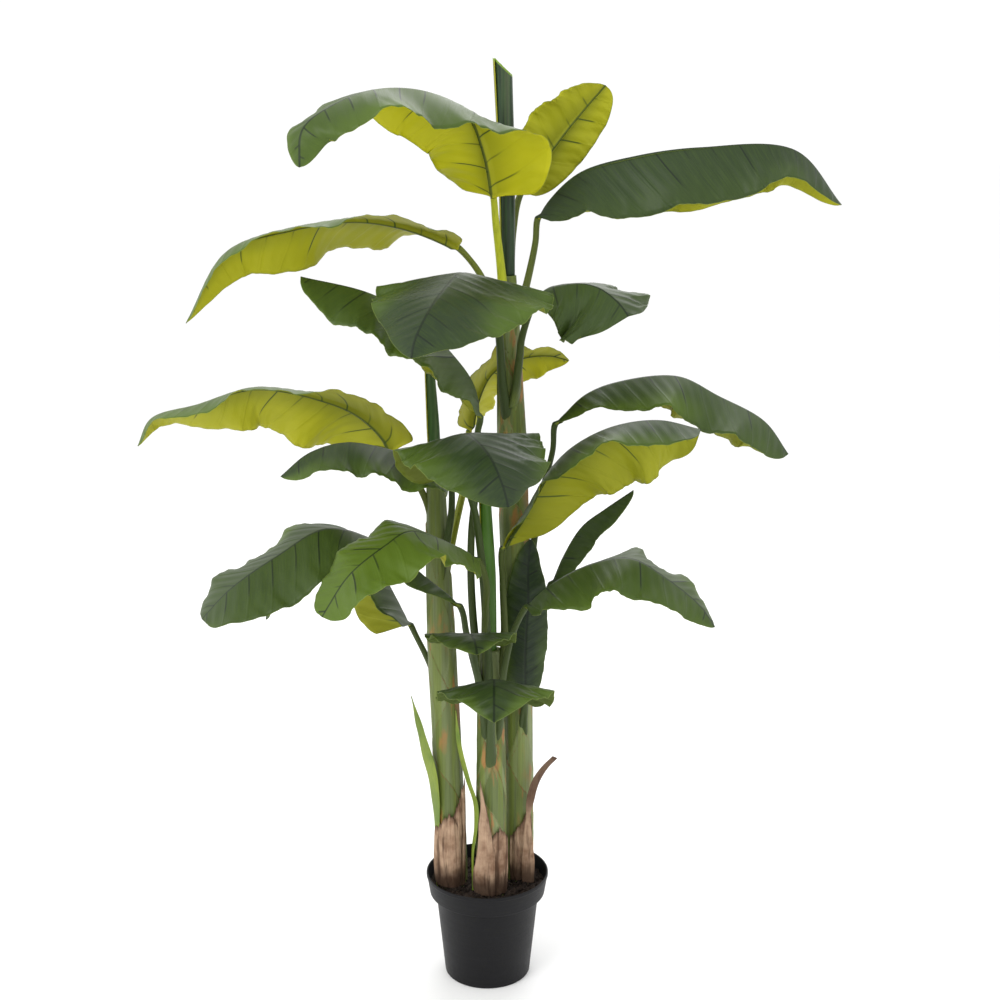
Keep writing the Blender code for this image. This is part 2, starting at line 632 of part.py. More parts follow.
def hole_tool(x, y, radius, sides, start):
    """A tool for a hole in the soil, its corners in line with those of what stands in it."""
    turns = start + math.tau * np.arange(sides) / sides
    rings = []
    for height in (SOIL_TOP - HOLE_DEPTH - GAP, SOIL_TOP + HOLE_DEPTH):
        heights = np.full(sides, height)
        rings.append(np.stack([x + radius * np.cos(turns), y + radius * np.sin(turns), heights], -1))
    return loft("hole", rings, SOIL_LOOK)


def soil():
    """The soil fills the pot to a little under its rim, with a plain hole for each stem and sprout."""
    turns = math.tau * np.arange(POT_SIDES) / POT_SIDES
    rings = []
    for radius, height in pot_inside(GAP):
        heights = np.full(POT_SIDES, height)
        rings.append(np.stack([radius * np.cos(turns), radius * np.sin(turns), heights], -1))
    made = loft("soil", rings, SOIL_LOOK)
    for shape in STEMS.values():
        x, y = (value * MM for value in shape["route"][0][:2])
        boolean(made, hole_tool(x, y, STEM_FOOT_RADIUS + 2 * GAP, STEM_SIDES, 0.0), "DIFFERENCE")
    for shape in SPROUTS.values():
        x, y = (value * MM for value in shape["route"][0][:2])
        tool = hole_tool(x, y, shape["widths"][0] + 2 * GAP, STALK_SIDES, math.pi / STALK_SIDES)
        boolean(made, tool, "DIFFERENCE")


POT_LOOK = ((0.028, 0.028, 0.032), 0.42)
STEM_LOOK = ((0.20, 0.27, 0.10), 0.50)
LEAF_LOOK = ((0.045, 0.100, 0.030), 0.45)
ROLLED_LOOK = ((0.030, 0.090, 0.040), 0.40)
SPROUT_LOOK = ((0.090, 0.200, 0.040), 0.50)
HUSK_LOOK = ((0.400, 0.280, 0.170), 0.85)
SOIL_LOOK = ((0.020, 0.014, 0.010), 0.95)


def main():
    clear_scene()
    pot()
    soil()
    for name, shape in STEMS.items():
        stem(name, shape)
    for name, shape in ROLLED.items():
        rolled_leaf(name, shape)
    for number, (name, leaf) in enumerate(LEAVES.items(), 1):
        blade(name, leaf, number)
    for name, shape in SPROUTS.items():
        flat_shoot(name, shape, SPROUT_SECTIONS, STALK_SIDES, shape["facing"], SPROUT_LOOK)
    for name, shape in HUSKS.items():
        husk(name, shape)
    flat_shoot("husk_curl", HUSK_CURL, HUSK_CURL_SECTIONS, STALK_SIDES, 270, HUSK_LOOK)


if __name__ == "__main__":
    main()
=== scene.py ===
"""The potted banana plant with its fine surfaces and finishes.

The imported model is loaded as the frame. Each piece here follows the route and the sizes of the
solid that it stands for. Lengths are in metres, those of the routes in millimetres. +Z is up,
the pot's axis is the Z axis and its foot stands on Z = 0. An azimuth is in degrees, from +X
towards +Y.
"""
import math

import bpy
import numpy as np
from bpy.props import FloatProperty, FloatVectorProperty, IntProperty, PointerProperty
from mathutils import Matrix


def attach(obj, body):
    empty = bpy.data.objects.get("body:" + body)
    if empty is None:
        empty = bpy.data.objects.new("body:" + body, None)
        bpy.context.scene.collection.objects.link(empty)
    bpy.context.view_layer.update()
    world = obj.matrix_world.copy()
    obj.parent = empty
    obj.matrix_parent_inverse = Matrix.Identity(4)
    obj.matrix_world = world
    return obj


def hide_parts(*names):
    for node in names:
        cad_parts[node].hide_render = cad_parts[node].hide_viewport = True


bl_info = {
    "name": "Potted banana plant",
    "version": (1, 0, 0),
    "blender": (4, 5, 0),
    "location": "3D View > Sidebar > Banana plant",
    "description": "Builds the fine leaves, stems, husks, soil and pot of a potted banana plant",
    "category": "Object",
}

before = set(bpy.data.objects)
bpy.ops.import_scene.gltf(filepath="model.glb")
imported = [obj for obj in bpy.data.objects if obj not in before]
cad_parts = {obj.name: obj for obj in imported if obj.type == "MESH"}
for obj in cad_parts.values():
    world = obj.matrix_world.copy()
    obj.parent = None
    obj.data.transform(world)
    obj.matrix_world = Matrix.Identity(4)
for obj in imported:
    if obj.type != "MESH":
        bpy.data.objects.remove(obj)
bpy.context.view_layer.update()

GAP = 0.0003
MM = 0.001

POT_HEIGHT = 0.218
POT_RIM_RADIUS = 0.1225
POT_LIP_HEIGHT = 0.044
POT_LIP_LOW_RADIUS = 0.1155
POT_BODY_TOP_RADIUS = 0.1035
POT_FOOT_RADIUS = 0.0855
POT_FOOT_ROUND = 0.004
POT_WALL = 0.003

SOIL_TOP = 0.195

# Centre lines of the stems in millimetres, with radii in metres at equal heights
STEMS = {
    "stem_tall": dict(
        route=[(62, 30, 180), (62, 30, 205), (61, 30, 500), (54, 30, 900), (45, 30, 1200),
               (40, 30, 1410)],
        radii=(0.030, 0.029, 0.028, 0.027, 0.016),
        sheaths=(330, 470, 640, 820, 1000, 1180, 1320),
    ),
    "stem_middle": dict(
        route=[(8, -35, 180), (8, -35, 205), (8, -35, 450), (6, -35, 700)],
        radii=(0.030, 0.029, 0.026, 0.021),
        sheaths=(320, 430, 545, 640),
    ),
    "stem_left": dict(
        route=[(-71, 0, 180), (-71, 0, 205), (-78, 0, 450), (-90, 0, 750), (-96, 0, 1020)],
        radii=(0.030, 0.028, 0.026, 0.018),
        sheaths=(340, 480, 620, 780, 920),
    ),
}

# Rolled young leaves, each standing on the top of its stem
ROLLED = {
    "rolled_leaf_tall": dict(
        route=[(40, 30, 1410), (38, 30, 1600), (31, 30, 1793)],
        radii=(0.014, 0.016, 0.019),
    ),
    "rolled_leaf_middle": dict(
        route=[(6, -35, 700), (4, -35, 850), (-2, -35, 1000)],
        radii=(0.014, 0.015, 0.013),
    ),
    "rolled_leaf_left": dict(
        route=[(-96, 0, 1020), (-100, 0, 1130), (-105, 0, 1240)],
        radii=(0.013, 0.013, 0.011),
    ),
}

# Open leaves, from the top of the plant down. A route runs along the stalk and the midrib, and
# the blade begins at its point number blade_from. Powers near 1 make an end of the blade
# pointed, lower ones make it blunt. Left and right are seen along the leaf from its root. widths
# holds the two half widths, and droop_left and droop_right the degrees by which each half hangs
# below the level through the midrib, at equal steps along the blade.
LEAVES = {
    "leaf_01": dict(
        stem="stem_tall", azimuth=233, blade_from=3, widths=(0.135, 0.100), ripple=5,
        powers=(0.28, 0.62),
        route=[(36, 14, 1330), (27, 2, 1430), (18, -12, 1510), (14, -20, 1555), (0, -58, 1635),
               (-30, -100, 1705), (-95, -150, 1740), (-175, -200, 1745), (-245, -250, 1720),
               (-295, -290, 1680), (-300, -310, 1620)],
        droop_left=(-20, -15, 18, 30, 0, 14, 40), droop_right=(10, 35, 55, 45, 10, 12, 0),
    ),
    "leaf_02": dict(
        stem="stem_tall", azimuth=275, blade_from=3, widths=(0.058, 0.078), ripple=6,
        powers=(0.42, 0.42),
        route=[(44, 46, 1325), (45, 52, 1415), (50, 68, 1490), (64, 88, 1555), (102, 82, 1610),
               (145, 68, 1668), (186, 48, 1718), (216, 28, 1752)],
        droop_left=(10, 5, 10), droop_right=(10, 5, 10),
    ),
    "leaf_03": dict(
        stem="stem_tall", azimuth=352, blade_from=3, widths=(0.120, 0.120), ripple=8,
        route=[(55, 25, 1320), (78, 28, 1410), (90, 24, 1470), (95, 20, 1515), (115, 15, 1550),
               (170, 0, 1600), (270, -20, 1630), (385, -30, 1645), (550, -50, 1640), (635, -60, 1545)],
        droop_left=(40, 65, 65, 50), droop_right=(30, 55, 50, 10),
    ),
    "leaf_04": dict(
        stem="stem_tall", azimuth=190, blade_from=3, widths=(0.095, 0.105), ripple=7,
        powers=(0.42, 0.8),
        route=[(38, 26, 1270), (15, 12, 1350), (-10, 0, 1415), (-50, -20, 1465), (-85, -30, 1485),
               (-155, -50, 1510), (-235, -60, 1520), (-345, -80, 1505), (-460, -100, 1465),
               (-535, -110, 1340)],
        droop_left=(-25, -10, -6, 5), droop_right=(0, 30, 58, 40),
    ),
    "leaf_05": dict(
        stem="stem_tall", azimuth=255, blade_from=4, widths=(0.176, 0.142), ripple=4,
        powers=(0.42, 0.8),
        route=[(44, 22, 1110), (30, -5, 1215), (25, -20, 1295), (15, -60, 1375), (-15, -130, 1420),
               (-40, -200, 1440), (-65, -300, 1425), (-90, -380, 1395), (-110, -430, 1355),
               (-115, -450, 1330)],
        droop_left=(10, 8, 15), droop_right=(10, 6, 15),
    ),
    "leaf_06": dict(
        stem="stem_tall", azimuth=335, blade_from=3, widths=(0.120, 0.120), ripple=6,
        powers=(0.8, 0.3),
        route=[(52, 15, 1170), (62, -20, 1270), (65, -30, 1300), (85, -60, 1365), (105, -70, 1395),
               (160, -100, 1410), (200, -130, 1405), (235, -160, 1380), (250, -170, 1360)],
        droop_left=(0, 5, -12), droop_right=(12, 30, 50, 52),
    ),
    "leaf_07": dict(
        stem="stem_middle", azimuth=200, blade_from=6, widths=(0.135, 0.120), ripple=6,
        powers=(0.6, 0.5),
        route=[(2, -32, 600), (-18, -22, 690), (-28, -22, 800), (-28, -35, 930), (-15, -60, 1060),
               (-15, -80, 1135), (-10, -90, 1165), (-20, -90, 1225), (-60, -100, 1285),
               (-125, -110, 1350), (-205, -120, 1395), (-325, -130, 1425)],
        droop_left=(30, 28, 26), droop_right=(20, 20, 20),
    ),
    "leaf_08": dict(
        stem="stem_left", azimuth=30, blade_from=3, widths=(0.085, 0.088), ripple=8,
        powers=(0.3, 0.62),
        route=[(-90, 5, 790), (-62, 55, 920), (-40, 88, 1020), (-35, 100, 1100), (-20, 110, 1165),
               (10, 120, 1215), (65, 130, 1240), (120, 130, 1245), (160, 130, 1235)],
        droop_left=(40, 60, 50), droop_right=(-60, -52, -20),
    ),
    "leaf_09": dict(
        stem="stem_left", azimuth=190, blade_from=3, widths=(0.100, 0.125), ripple=8,
        powers=(0.28, 0.62),
        route=[(-98, 0, 900), (-112, 0, 980), (-142, 0, 1040), (-175, 0, 1080), (-190, 0, 1110),
               (-230, 0, 1150), (-285, -10, 1180), (-425, -30, 1210), (-535, -40, 1180),
               (-620, -50, 1155), (-645, -60, 1105)],
        droop_left=(-45, -20, -6, 5), droop_right=(40, 52, 46, 18),
    ),
    "leaf_10": dict(
        stem="stem_left", azimuth=195, blade_from=3, widths=(0.105, 0.095), ripple=8,
        route=[(-88, -6, 840), (-72, -30, 930), (-64, -55, 990), (-68, -80, 1045),
               (-100, -110, 1085), (-155, -140, 1112), (-245, -180, 1138), (-310, -210, 1125),
               (-360, -220, 1085)],
        droop_left=(15, 18, 20), droop_right=(15, 20, 20),
    ),
    "leaf_11": dict(
        stem="stem_middle", azimuth=300, blade_from=5, widths=(0.146, 0.130), ripple=5,
        route=[(6, -42, 570), (2, -62, 690), (-4, -80, 830), (-18, -105, 975), (-32, -142, 1040),
               (-50, -185, 1080), (-55, -210, 1135), (-38, -245, 1168), (5, -320, 1148),
               (30, -370, 1105), (40, -382, 1070)],
        droop_left=(0, 5, 10), droop_right=(-8, 10, 22),
    ),
    "leaf_12": dict(
        stem="stem_tall", azimuth=355, blade_from=4, widths=(0.108, 0.110), ripple=7,
        powers=(0.8, 0.45),
        route=[(60, 30, 720), (80, 28, 820), (102, 28, 980), (125, 20, 1080), (130, 20, 1130),
               (150, 20, 1155), (185, 10, 1190), (240, 0, 1215), (355, -20, 1230), (430, -30, 1195),
               (515, -50, 1150), (560, -60, 1090)],
        droop_left=(40, 45, 45), droop_right=(25, 24, 22, 22),
    ),
    "leaf_13": dict(
        stem="stem_middle", azimuth=345, blade_from=3, widths=(0.130, 0.090), ripple=9,
        powers=(0.75, 0.35),
        route=[(14, -38, 620), (32, -36, 700), (30, -26, 835), (30, -30, 900), (70, -50, 975),
               (115, -70, 1060), (160, -100, 1115), (230, -120, 1155), (310, -140, 1170),
               (385, -150, 1155)],
        droop_left=(65, 68, 65, 62), droop_right=(0, 8, 12),
    ),
    "leaf_14": dict(
        stem="stem_tall", azimuth=10, blade_from=3, widths=(0.036, 0.046), ripple=4,
        route=[(65, 32, 620), (88, 40, 710), (108, 48, 760), (125, 50, 805), (150, 55, 865),
               (185, 60, 920), (230, 60, 955), (285, 70, 990)],
        droop_left=(60, 50, 40), droop_right=(30, 40, 40),
    ),
    "leaf_15": dict(
        stem="stem_middle", azimuth=340, blade_from=4, widths=(0.098, 0.105), ripple=10,
        route=[(12, -42, 470), (26, -54, 570), (32, -60, 660), (50, -68, 745), (75, -80, 800),
               (110, -90, 840), (190, -120, 895), (265, -150, 915), (325, -170, 885),
               (390, -190, 835), (415, -200, 800)],
        droop_left=(15, 5, 0), droop_right=(15, 26, 12, 10),
    ),
    "leaf_16": dict(
        stem="stem_tall", azimuth=85, blade_from=2, widths=(0.050, 0.045), ripple=5,
        route=[(68, 24, 470), (72, 0, 540), (75, -10, 585), (75, -15, 690), (80, -15, 795),
               (80, -10, 860), (85, 0, 910)],
        droop_left=(0, 0, 0), droop_right=(20, 20, 20),
    ),
    "leaf_17": dict(
        stem="stem_middle", azimuth=205, blade_from=4, widths=(0.122, 0.115), ripple=6,
        powers=(0.85, 0.33),
        route=[(4, -38, 560), (-14, -52, 640), (-28, -62, 700), (-38, -68, 745), (-50, -76, 800),
               (-112, -88, 862), (-203, -110, 938), (-290, -145, 970), (-375, -185, 930),
               (-455, -225, 880), (-505, -245, 830)],
        droop_left=(35, 24, 20, 2), droop_right=(20, 6, 4, 0),
    ),
    "leaf_18": dict(
        stem="stem_left", azimuth=185, blade_from=3, widths=(0.090, 0.110), ripple=12,
        powers=(0.22, 0.62),
        route=[(-80, 0, 470), (-94, 14, 550), (-105, 30, 625), (-150, 50, 720), (-185, 60, 790),
               (-230, 70, 870), (-285, 60, 920), (-370, 50, 920), (-420, 40, 855), (-435, 40, 735)],
        droop_left=(10, 10, 30), droop_right=(60, 60, 35, 20),
    ),
    "leaf_19": dict(
        stem="stem_middle", azimuth=215, blade_from=4, widths=(0.110, 0.080), ripple=7,
        powers=(0.42, 0.36),
        route=[(2, -42, 600), (-2, -62, 700), (-2, -78, 790), (0, -90, 850), (-15, -110, 900),
               (-60, -160, 945), (-135, -220, 985), (-175, -260, 970), (-235, -310, 930),
               (-280, -340, 865)],
        droop_left=(25, 8, -8), droop_right=(5, -5, -6),
    ),
    "leaf_20": dict(
        stem="stem_middle", azimuth=265, blade_from=3, widths=(0.088, 0.084), ripple=5,
        powers=(0.42, 0.9),
        route=[(4, -45, 480), (-8, -65, 600), (-20, -85, 680), (-30, -120, 750), (-30, -160, 775),
               (-20, -220, 780), (-15, -250, 765)],
        droop_left=(8, -4, 5), droop_right=(8, -4, 5),
    ),
    "leaf_21": dict(
        stem="stem_middle", azimuth=270, blade_from=3, widths=(0.118, 0.114), ripple=4,
        powers=(0.42, 1.0),
        route=[(8, -48, 440), (8, -75, 540), (10, -95, 590), (10, -120, 645), (15, -170, 690),
               (15, -240, 695), (15, -300, 655)],
        droop_left=(20, 8, 12), droop_right=(20, 8, 12),
    ),
}
CURL = 12            # further degrees of droop from the midrib to the margin
RIPPLES = 3.3        # waves of the margin along a blade

# Young shoots straight from the soil: route, the azimuth the flat side faces, half widths and
# half thicknesses
SPROUTS = {
    "sprout_left": dict(
        route=[(-100, -20, 180), (-100, -20, 205), (-100, -20, 255), (-99, -20, 300), (-100, -20, 340),
               (-102, -23, 380), (-107, -26, 430), (-117, -26, 475), (-130, -26, 530), (-147, -26, 600)],
        facing=215,
        widths=(0.003, 0.003, 0.0095, 0.0150, 0.017, 0.010, 0.001),
        thicks=(0.0025, 0.0020, 0.0013, 0.0012, 0.0012, 0.0012, 0.001),
    ),
    "sprout_right": dict(
        route=[(-28, -42, 180), (-28, -42, 205), (-28, -45, 280), (-22, -53, 335), (-22, -54, 385),
               (-37, -50, 435), (-54, -50, 510), (-60, -50, 580)],
        facing=210,
        widths=(0.003, 0.0035, 0.006, 0.0095, 0.0085, 0.007, 0.001),
        thicks=(0.0025, 0.0020, 0.0013, 0.0012, 0.0012, 0.0012, 0.001),
    ),
}

# Dry sheaths wrapped round the stems' feet, standing on the soil
HUSK_THICK = 0.0020
HUSK_FALL = 0.8      # power of the torn edge's fall on both sides of its peak
HUSK_BEND = 4        # power of the height with which a husk's lean grows
HUSKS = {
    "husk_left_outer": dict(
        stem="stem_left", azimuth=251, spread=48, radius=0.0400, lean=0,
        height=0.168, peak=0.3, jag=0.22,
    ),
    "husk_left_inner": dict(
        stem="stem_left", azimuth=292, spread=33, radius=0.0370, lean=0,
        height=0.240, peak=0.85, jag=0.27,
    ),
    "husk_middle_outer": dict(
        stem="stem_middle", azimuth=243, spread=38, radius=0.0410, lean=-26,
        height=0.262, peak=0.25, jag=0.75,
    ),
    "husk_middle_inner": dict(
        stem="stem_middle", azimuth=300, spread=45, radius=0.0375, lean=0,
        height=0.150, peak=0.0, jag=0.20,
    ),
    "husk_right": dict(
        stem="stem_tall", azimuth=283, spread=40, radius=0.0370, lean=0,
        height=0.160, peak=0.6, jag=0.25,
    ),
}

# A strip of dry sheath that stands up beside the tall stem and bends away
HUSK_CURL = dict(
    route=[(82, -13, 195.3), (82, -13, 250), (81, -13, 320), (85, -13, 370), (96, -14, 415),
           (113, -15, 445), (134, -15, 468)],
    widths=(0.012, 0.013, 0.009, 0.0045, 0.009, 0.0105, 0.009),
    thicks=(0.0012, 0.0012, 0.0012, 0.0012, 0.0012, 0.0012, 0.001),
)

STALK_ROOT_RADIUS = 0.009
STALK_END_RADIUS = 0.006
STEM_FOOT_RADIUS = 0.030
BLADE_OUTLINE = (0.42, 0.62)   # usual powers of the outline towards the base and towards the tip
VEIN_SPACING = 0.050           # from one dark vein to the next along the midrib
PLEAT_SPACING = 0.025
MOUTH_RISE = 0.0065            # height of a rolled leaf's mouth above the end of its route

# How light each leaf is: its upper face from dark to fresh green, then the left and the right
# half of its lower face from green to yellow. The lower face's yellow is partly painted light
# shining through the leaf from behind, and its dark green partly painted shade.
LEAF_TONES = {
    "leaf_01": (0.42, 1.00, 0.95),
    "leaf_02": (0.55, 0.62, 0.72),
    "leaf_03": (0.10, 0.60, 0.70),
    "leaf_04": (0.62, 0.70, 0.75),
    "leaf_05": (0.05, 0.20, 0.20),
    "leaf_06": (0.20, 0.40, 0.45),
    "leaf_07": (0.30, 0.35, 0.40),
    "leaf_08": (0.60, 0.85, 0.70),
    "leaf_09": (0.62, 0.62, 0.72),
    "leaf_10": (0.10, 0.15, 0.20),
    "leaf_11": (0.06, 0.12, 0.12),
    "leaf_12": (0.22, 0.35, 0.35),
    "leaf_13": (0.12, 0.50, 0.50),
    "leaf_14": (0.22, 0.20, 0.20),
    "leaf_15": (0.34, 0.35, 0.35),
    "leaf_16": (0.00, 0.02, 0.05),
    "leaf_17": (0.24, 0.25, 0.25),
    "leaf_18": (0.18, 0.40, 0.45),
    "leaf_19": (0.78, 0.50, 0.50),
    "leaf_20": (0.14, 0.02, 0.02),
    "leaf_21": (0.14, 0.02, 0.02),
}


# How bright a green each rolled leaf is outside
ROLL_FRESHNESS = {"rolled_leaf_tall": 0.0, "rolled_leaf_middle": 1.0, "rolled_leaf_left": 0.35}


class Wire:
    """A value that varies over a surface. Arithmetic on it adds Math nodes."""

    def __init__(self, finish, socket):
        self.finish = finish
        self.socket = socket

    def math(self, operation, *others):
        return self.finish.node("ShaderNodeMath", [self, *others], operation=operation)

    def __add__(self, other):
        return self.math("ADD", other)

    def __mul__(self, other):
        return self.math("MULTIPLY", other)

    def __sub__(self, other):
        return self.math("SUBTRACT", other)

    def __truediv__(self, other):
        return self.math("DIVIDE", other)

    def __rsub__(self, other):
        return self.finish.node("ShaderNodeMath", [other, self], operation="SUBTRACT")

    def __abs__(self):
        return self.math("ABSOLUTE")

    __radd__ = __add__
    __rmul__ = __mul__

    def rise(self, low, high):
        """0 up to low and 1 from high on, with an eased rise between. It falls if low > high."""
        feeds = {"Value": self, "From Min": low, "From Max": high}
        return self.finish.node("ShaderNodeMapRange", feeds, interpolation_type="SMOOTHSTEP")


class Finish:
    """A material in the making: its Principled shader and the nodes that feed it."""

    def __init__(self, name, constants):
        self.material = bpy.data.materials.new(name)
        self.material.use_nodes = True
        self.tree = self.material.node_tree
        self.shader = self.tree.nodes["Principled BSDF"]
        for socket, value in constants.items():
            self.shader.inputs[socket].default_value = value

    def node(self, kind, feeds, output=0, **settings):
        """A new node with its settings, and the value or link of each socket, by name or number."""
        made = self.tree.nodes.new(kind)
        for key, value in settings.items():
            setattr(made, key, value)
        pairs = feeds.items() if isinstance(feeds, dict) else enumerate(feeds)
        for key, value in pairs:
            if isinstance(value, Wire):
                self.tree.links.new(value.socket, made.inputs[key])
            else:
                made.inputs[key].default_value = value
        return Wire(self, made.outputs[output])

    def value(self, name):
        """A number that the mesh keeps at each point."""
        return self.node("ShaderNodeAttribute", {}, output=2, attribute_name=name)

    def place(self):
        return self.node("ShaderNodeTexCoord", {}, output=3)

    def vector(self, x, y, z):
        return self.node("ShaderNodeCombineXYZ", [x, y, z])

    def stretched(self, place, x, y, z):
        return self.node("ShaderNodeMapping", {"Vector": place, "Scale": (x, y, z)})

    def noise(self, place, scale, detail=3.0, roughness=0.5):
        feeds = {"Vector": place, "Scale": scale, "Detail": detail, "Roughness": roughness}
        return self.node("ShaderNodeTexNoise", feeds)

    def chance(self, number):
        """A fixed random value from 0 to 1 for each whole number."""
        return self.node("ShaderNodeTexWhiteNoise", {"W": number}, noise_dimensions="1D")

    def mix(self, share, first, second, blend="MIX"):
        """Colour from first at 0 to second at 1."""
        feeds = {0: share, 6: first, 7: second}
        return self.node("ShaderNodeMix", feeds, output=2, data_type="RGBA", blend_type=blend)

    def paint(self, colour=None, roughness=None, height=None, depth=0.001):
        """Feed the shader. The height goes through a Bump node, in metres of depth."""
        if colour is not None:
            self.tree.links.new(colour.socket, self.shader.inputs["Base Color"])
        if roughness is not None:
            self.tree.links.new(roughness.socket, self.shader.inputs["Roughness"])
        if height is not None:
            bump = self.node("ShaderNodeBump", {"Height": height, "Strength": 1.0, "Distance": depth})
            self.tree.links.new(bump.socket, self.shader.inputs["Normal"])
        return self.material


def rgb(colour, times=1.0):
    """A colour property as the four numbers of a colour socket, made lighter or darker."""
    return (*(min(channel * times, 1.0) for channel in colour), 1.0)


def leaf_finish(colours):
    """Leaf sheet: green above and yellow-green below, with a thin pale margin, a few dark veins
    that fade out towards the margin, fine streaks along the veins, and a dark line on the midrib.
    Light and shade are painted in part: the yellow below stands for light shining through the
    leaf, its darker green for shade, the fresh patches near the margin above partly for
    highlights, and the midrib's dark line for shade in its fold."""
    finish = Finish("banana_leaf", {"Specular IOR Level": 0.26})
    under, tone, underside_light = (finish.value(name) for name in ("under", "tone", "underside_light"))
    vein, from_rib, to_edge, across = (finish.value(name)
                                       for name in ("vein", "from_rib", "to_edge", "across"))
    share = abs(across)
    half = across.rise(-0.001, 0.001)
    streaks = finish.noise(finish.vector(vein * 420.0, share * 2.5, half * 9.0), 1.0, 2.0)
    blotches = finish.noise(finish.place(), 9.0, 2.0)
    clouds = finish.noise(finish.place(), 5.0, 1.0).rise(0.42, 0.66)
    count = vein / VEIN_SPACING + half * 0.37
    number = count.math("FLOOR")
    beside = abs(count - number - 0.5) * VEIN_SPACING
    luck = finish.chance(number + half * 57.0)
    reach = luck * 0.55 + 0.25
    stroke = beside.rise(0.0024, 0.0008) * (share - reach).rise(0.0, -0.22)
    ridge = beside.rise(0.0040, 0.0)
    upper = finish.mix(tone, rgb(colours.upper_dark), rgb(colours.upper_fresh))
    upper = finish.mix(streaks.rise(0.35, 0.75) * 0.12, upper, rgb(colours.upper_fresh))
    # Painted highlight in part: cloudy patches of fresh green towards the margin of the upper face
    upper = finish.mix(share.rise(0.30, 1.0) * (clouds * 0.50 + 0.10), upper, rgb(colours.upper_fresh))
    # Painted light in part: the lower face goes from green, partly painted shade, to yellow, painted light
    # shining through the leaf
    lower = finish.mix(underside_light, rgb(colours.lower_green), rgb(colours.lower_yellow))
    lower = finish.mix(share.rise(0.55, 0.0) * 0.35, lower, rgb(colours.lower_green))
    colour = finish.mix(under, upper, lower)
    colour = finish.mix(blotches.rise(0.35, 0.70) * 0.30, colour, rgb((0.55, 0.62, 0.50)), "MULTIPLY")
    dark = finish.mix(under, rgb(colours.upper_dark, 0.55), rgb(colours.vein))
    colour = finish.mix(stroke * (0.45 + 0.5 * luck), colour, dark)
    # Painted shade: a dark line along the midrib, where the blade folds
    colour = finish.mix(from_rib.rise(0.0030, 0.0012) * 0.80, colour, dark)
    colour = finish.mix(to_edge.rise(0.0016, 0.0005) * 0.45, colour, rgb(colours.margin))
    rough = 0.40 + streaks * 0.14 + under * 0.12
    height = streaks * 0.20 + ridge * 0.45 - stroke * 0.25 + blotches * 0.30
    return finish.paint(colour, rough, height, 0.0010)


def roll_finish(colours):
    """A rolled leaf: dark green outside, pale green inside and along its mouth and outer edge."""
    finish = Finish("rolled_leaf", {"Specular IOR Level": 0.35})
    lip, seam, inside, young = (finish.value(name)
                                for name in ("to_mouth", "to_seam", "inside", "young"))
    grain = finish.noise(finish.stretched(finish.place(), 260.0, 260.0, 9.0), 1.0, 3.0)
    strips = finish.noise(finish.stretched(finish.place(), 90.0, 90.0, 2.0), 1.0, 1.0)
    colour = finish.mix(grain.rise(0.3, 0.7), rgb(colours.upper_dark, 0.9), rgb(colours.roll))
    colour = finish.mix(strips.rise(0.50, 0.62) * 0.20, colour, rgb(colours.stem_pale))
    colour = finish.mix(young, colour, rgb(colours.roll_fresh))
    colour = finish.mix(inside, colour, rgb(colours.upper_fresh, 2.0))
    colour = finish.mix(seam.rise(0.0055, 0.0030) * 0.9, colour, rgb(colours.lower_yellow, 0.60))
    colour = finish.mix(lip.rise(0.0060, 0.0020) * 0.9, colour, rgb(colours.upper_fresh, 1.9))
    return finish.paint(colour, 0.36 + grain * 0.14, grain, 0.0006)


def stem_finish(colours):
    """Stem sheaths: each its own green from sage to yellow-green, with long fibres, a thin dry
    edge where a sheath ends, and a few brown stains below it. Stalks are olive to yellow."""
    finish = Finish("stem_sheath", {"Specular IOR Level": 0.34})
    below, stalk, tint = (finish.value(name) for name in ("below_edge", "stalk", "tint"))
    place = finish.place()
    fibres = finish.noise(finish.stretched(place, 340.0, 340.0, 6.0), 1.0, 3.0, 0.6)
    strips = finish.noise(finish.stretched(place, 70.0, 70.0, 3.0), 1.0, 2.0)
    stains = finish.noise(finish.stretched(place, 34.0, 34.0, 9.0), 1.0, 3.0, 0.6)
    speckle = finish.noise(place, 60.0, 2.0)
    sheath = finish.mix(tint, rgb(colours.stem), rgb(colours.stem_pale))
    sheath = finish.mix(strips.rise(0.42, 0.62) * 0.55, sheath, rgb(colours.stem_yellow))
    petiole = finish.mix(tint, rgb(colours.stalk), rgb(colours.stalk_yellow))
    colour = finish.mix(stalk, sheath, petiole)
    colour = finish.mix(fibres.rise(0.45, 0.80) * 0.40, colour, rgb(colours.stem, 0.40))
    dry = (below - speckle * 0.004).rise(0.0030, 0.0008)
    patch = stains.rise(0.52, 0.62) * (below - speckle * 0.02).rise(0.110, 0.020)
    colour = finish.mix(patch * 0.70, colour, rgb(colours.sheath_edge, 1.5))
    colour = finish.mix(dry * 0.60, colour, rgb(colours.sheath_edge, 0.7))
    return finish.paint(colour, 0.44 + fibres * 0.2, fibres + strips * 0.4, 0.0010)


def sprout_finish(colours):
    """A young shoot: fresh green with fine long fibres."""
    finish = Finish("sprout", {"Specular IOR Level": 0.4})
    place = finish.place()
    fibres = finish.noise(finish.stretched(place, 420.0, 420.0, 10.0), 1.0, 2.0)
    stains = finish.noise(place, 14.0, 2.0)
    colour = finish.mix(stains.rise(0.35, 0.65), rgb(colours.upper_fresh), rgb(colours.stem_yellow, 1.3))
    colour = finish.mix(fibres.rise(0.5, 0.8) * 0.4, colour, rgb(colours.stem, 0.8))
    return finish.paint(colour, 0.40 + fibres * 0.2, fibres, 0.0006)


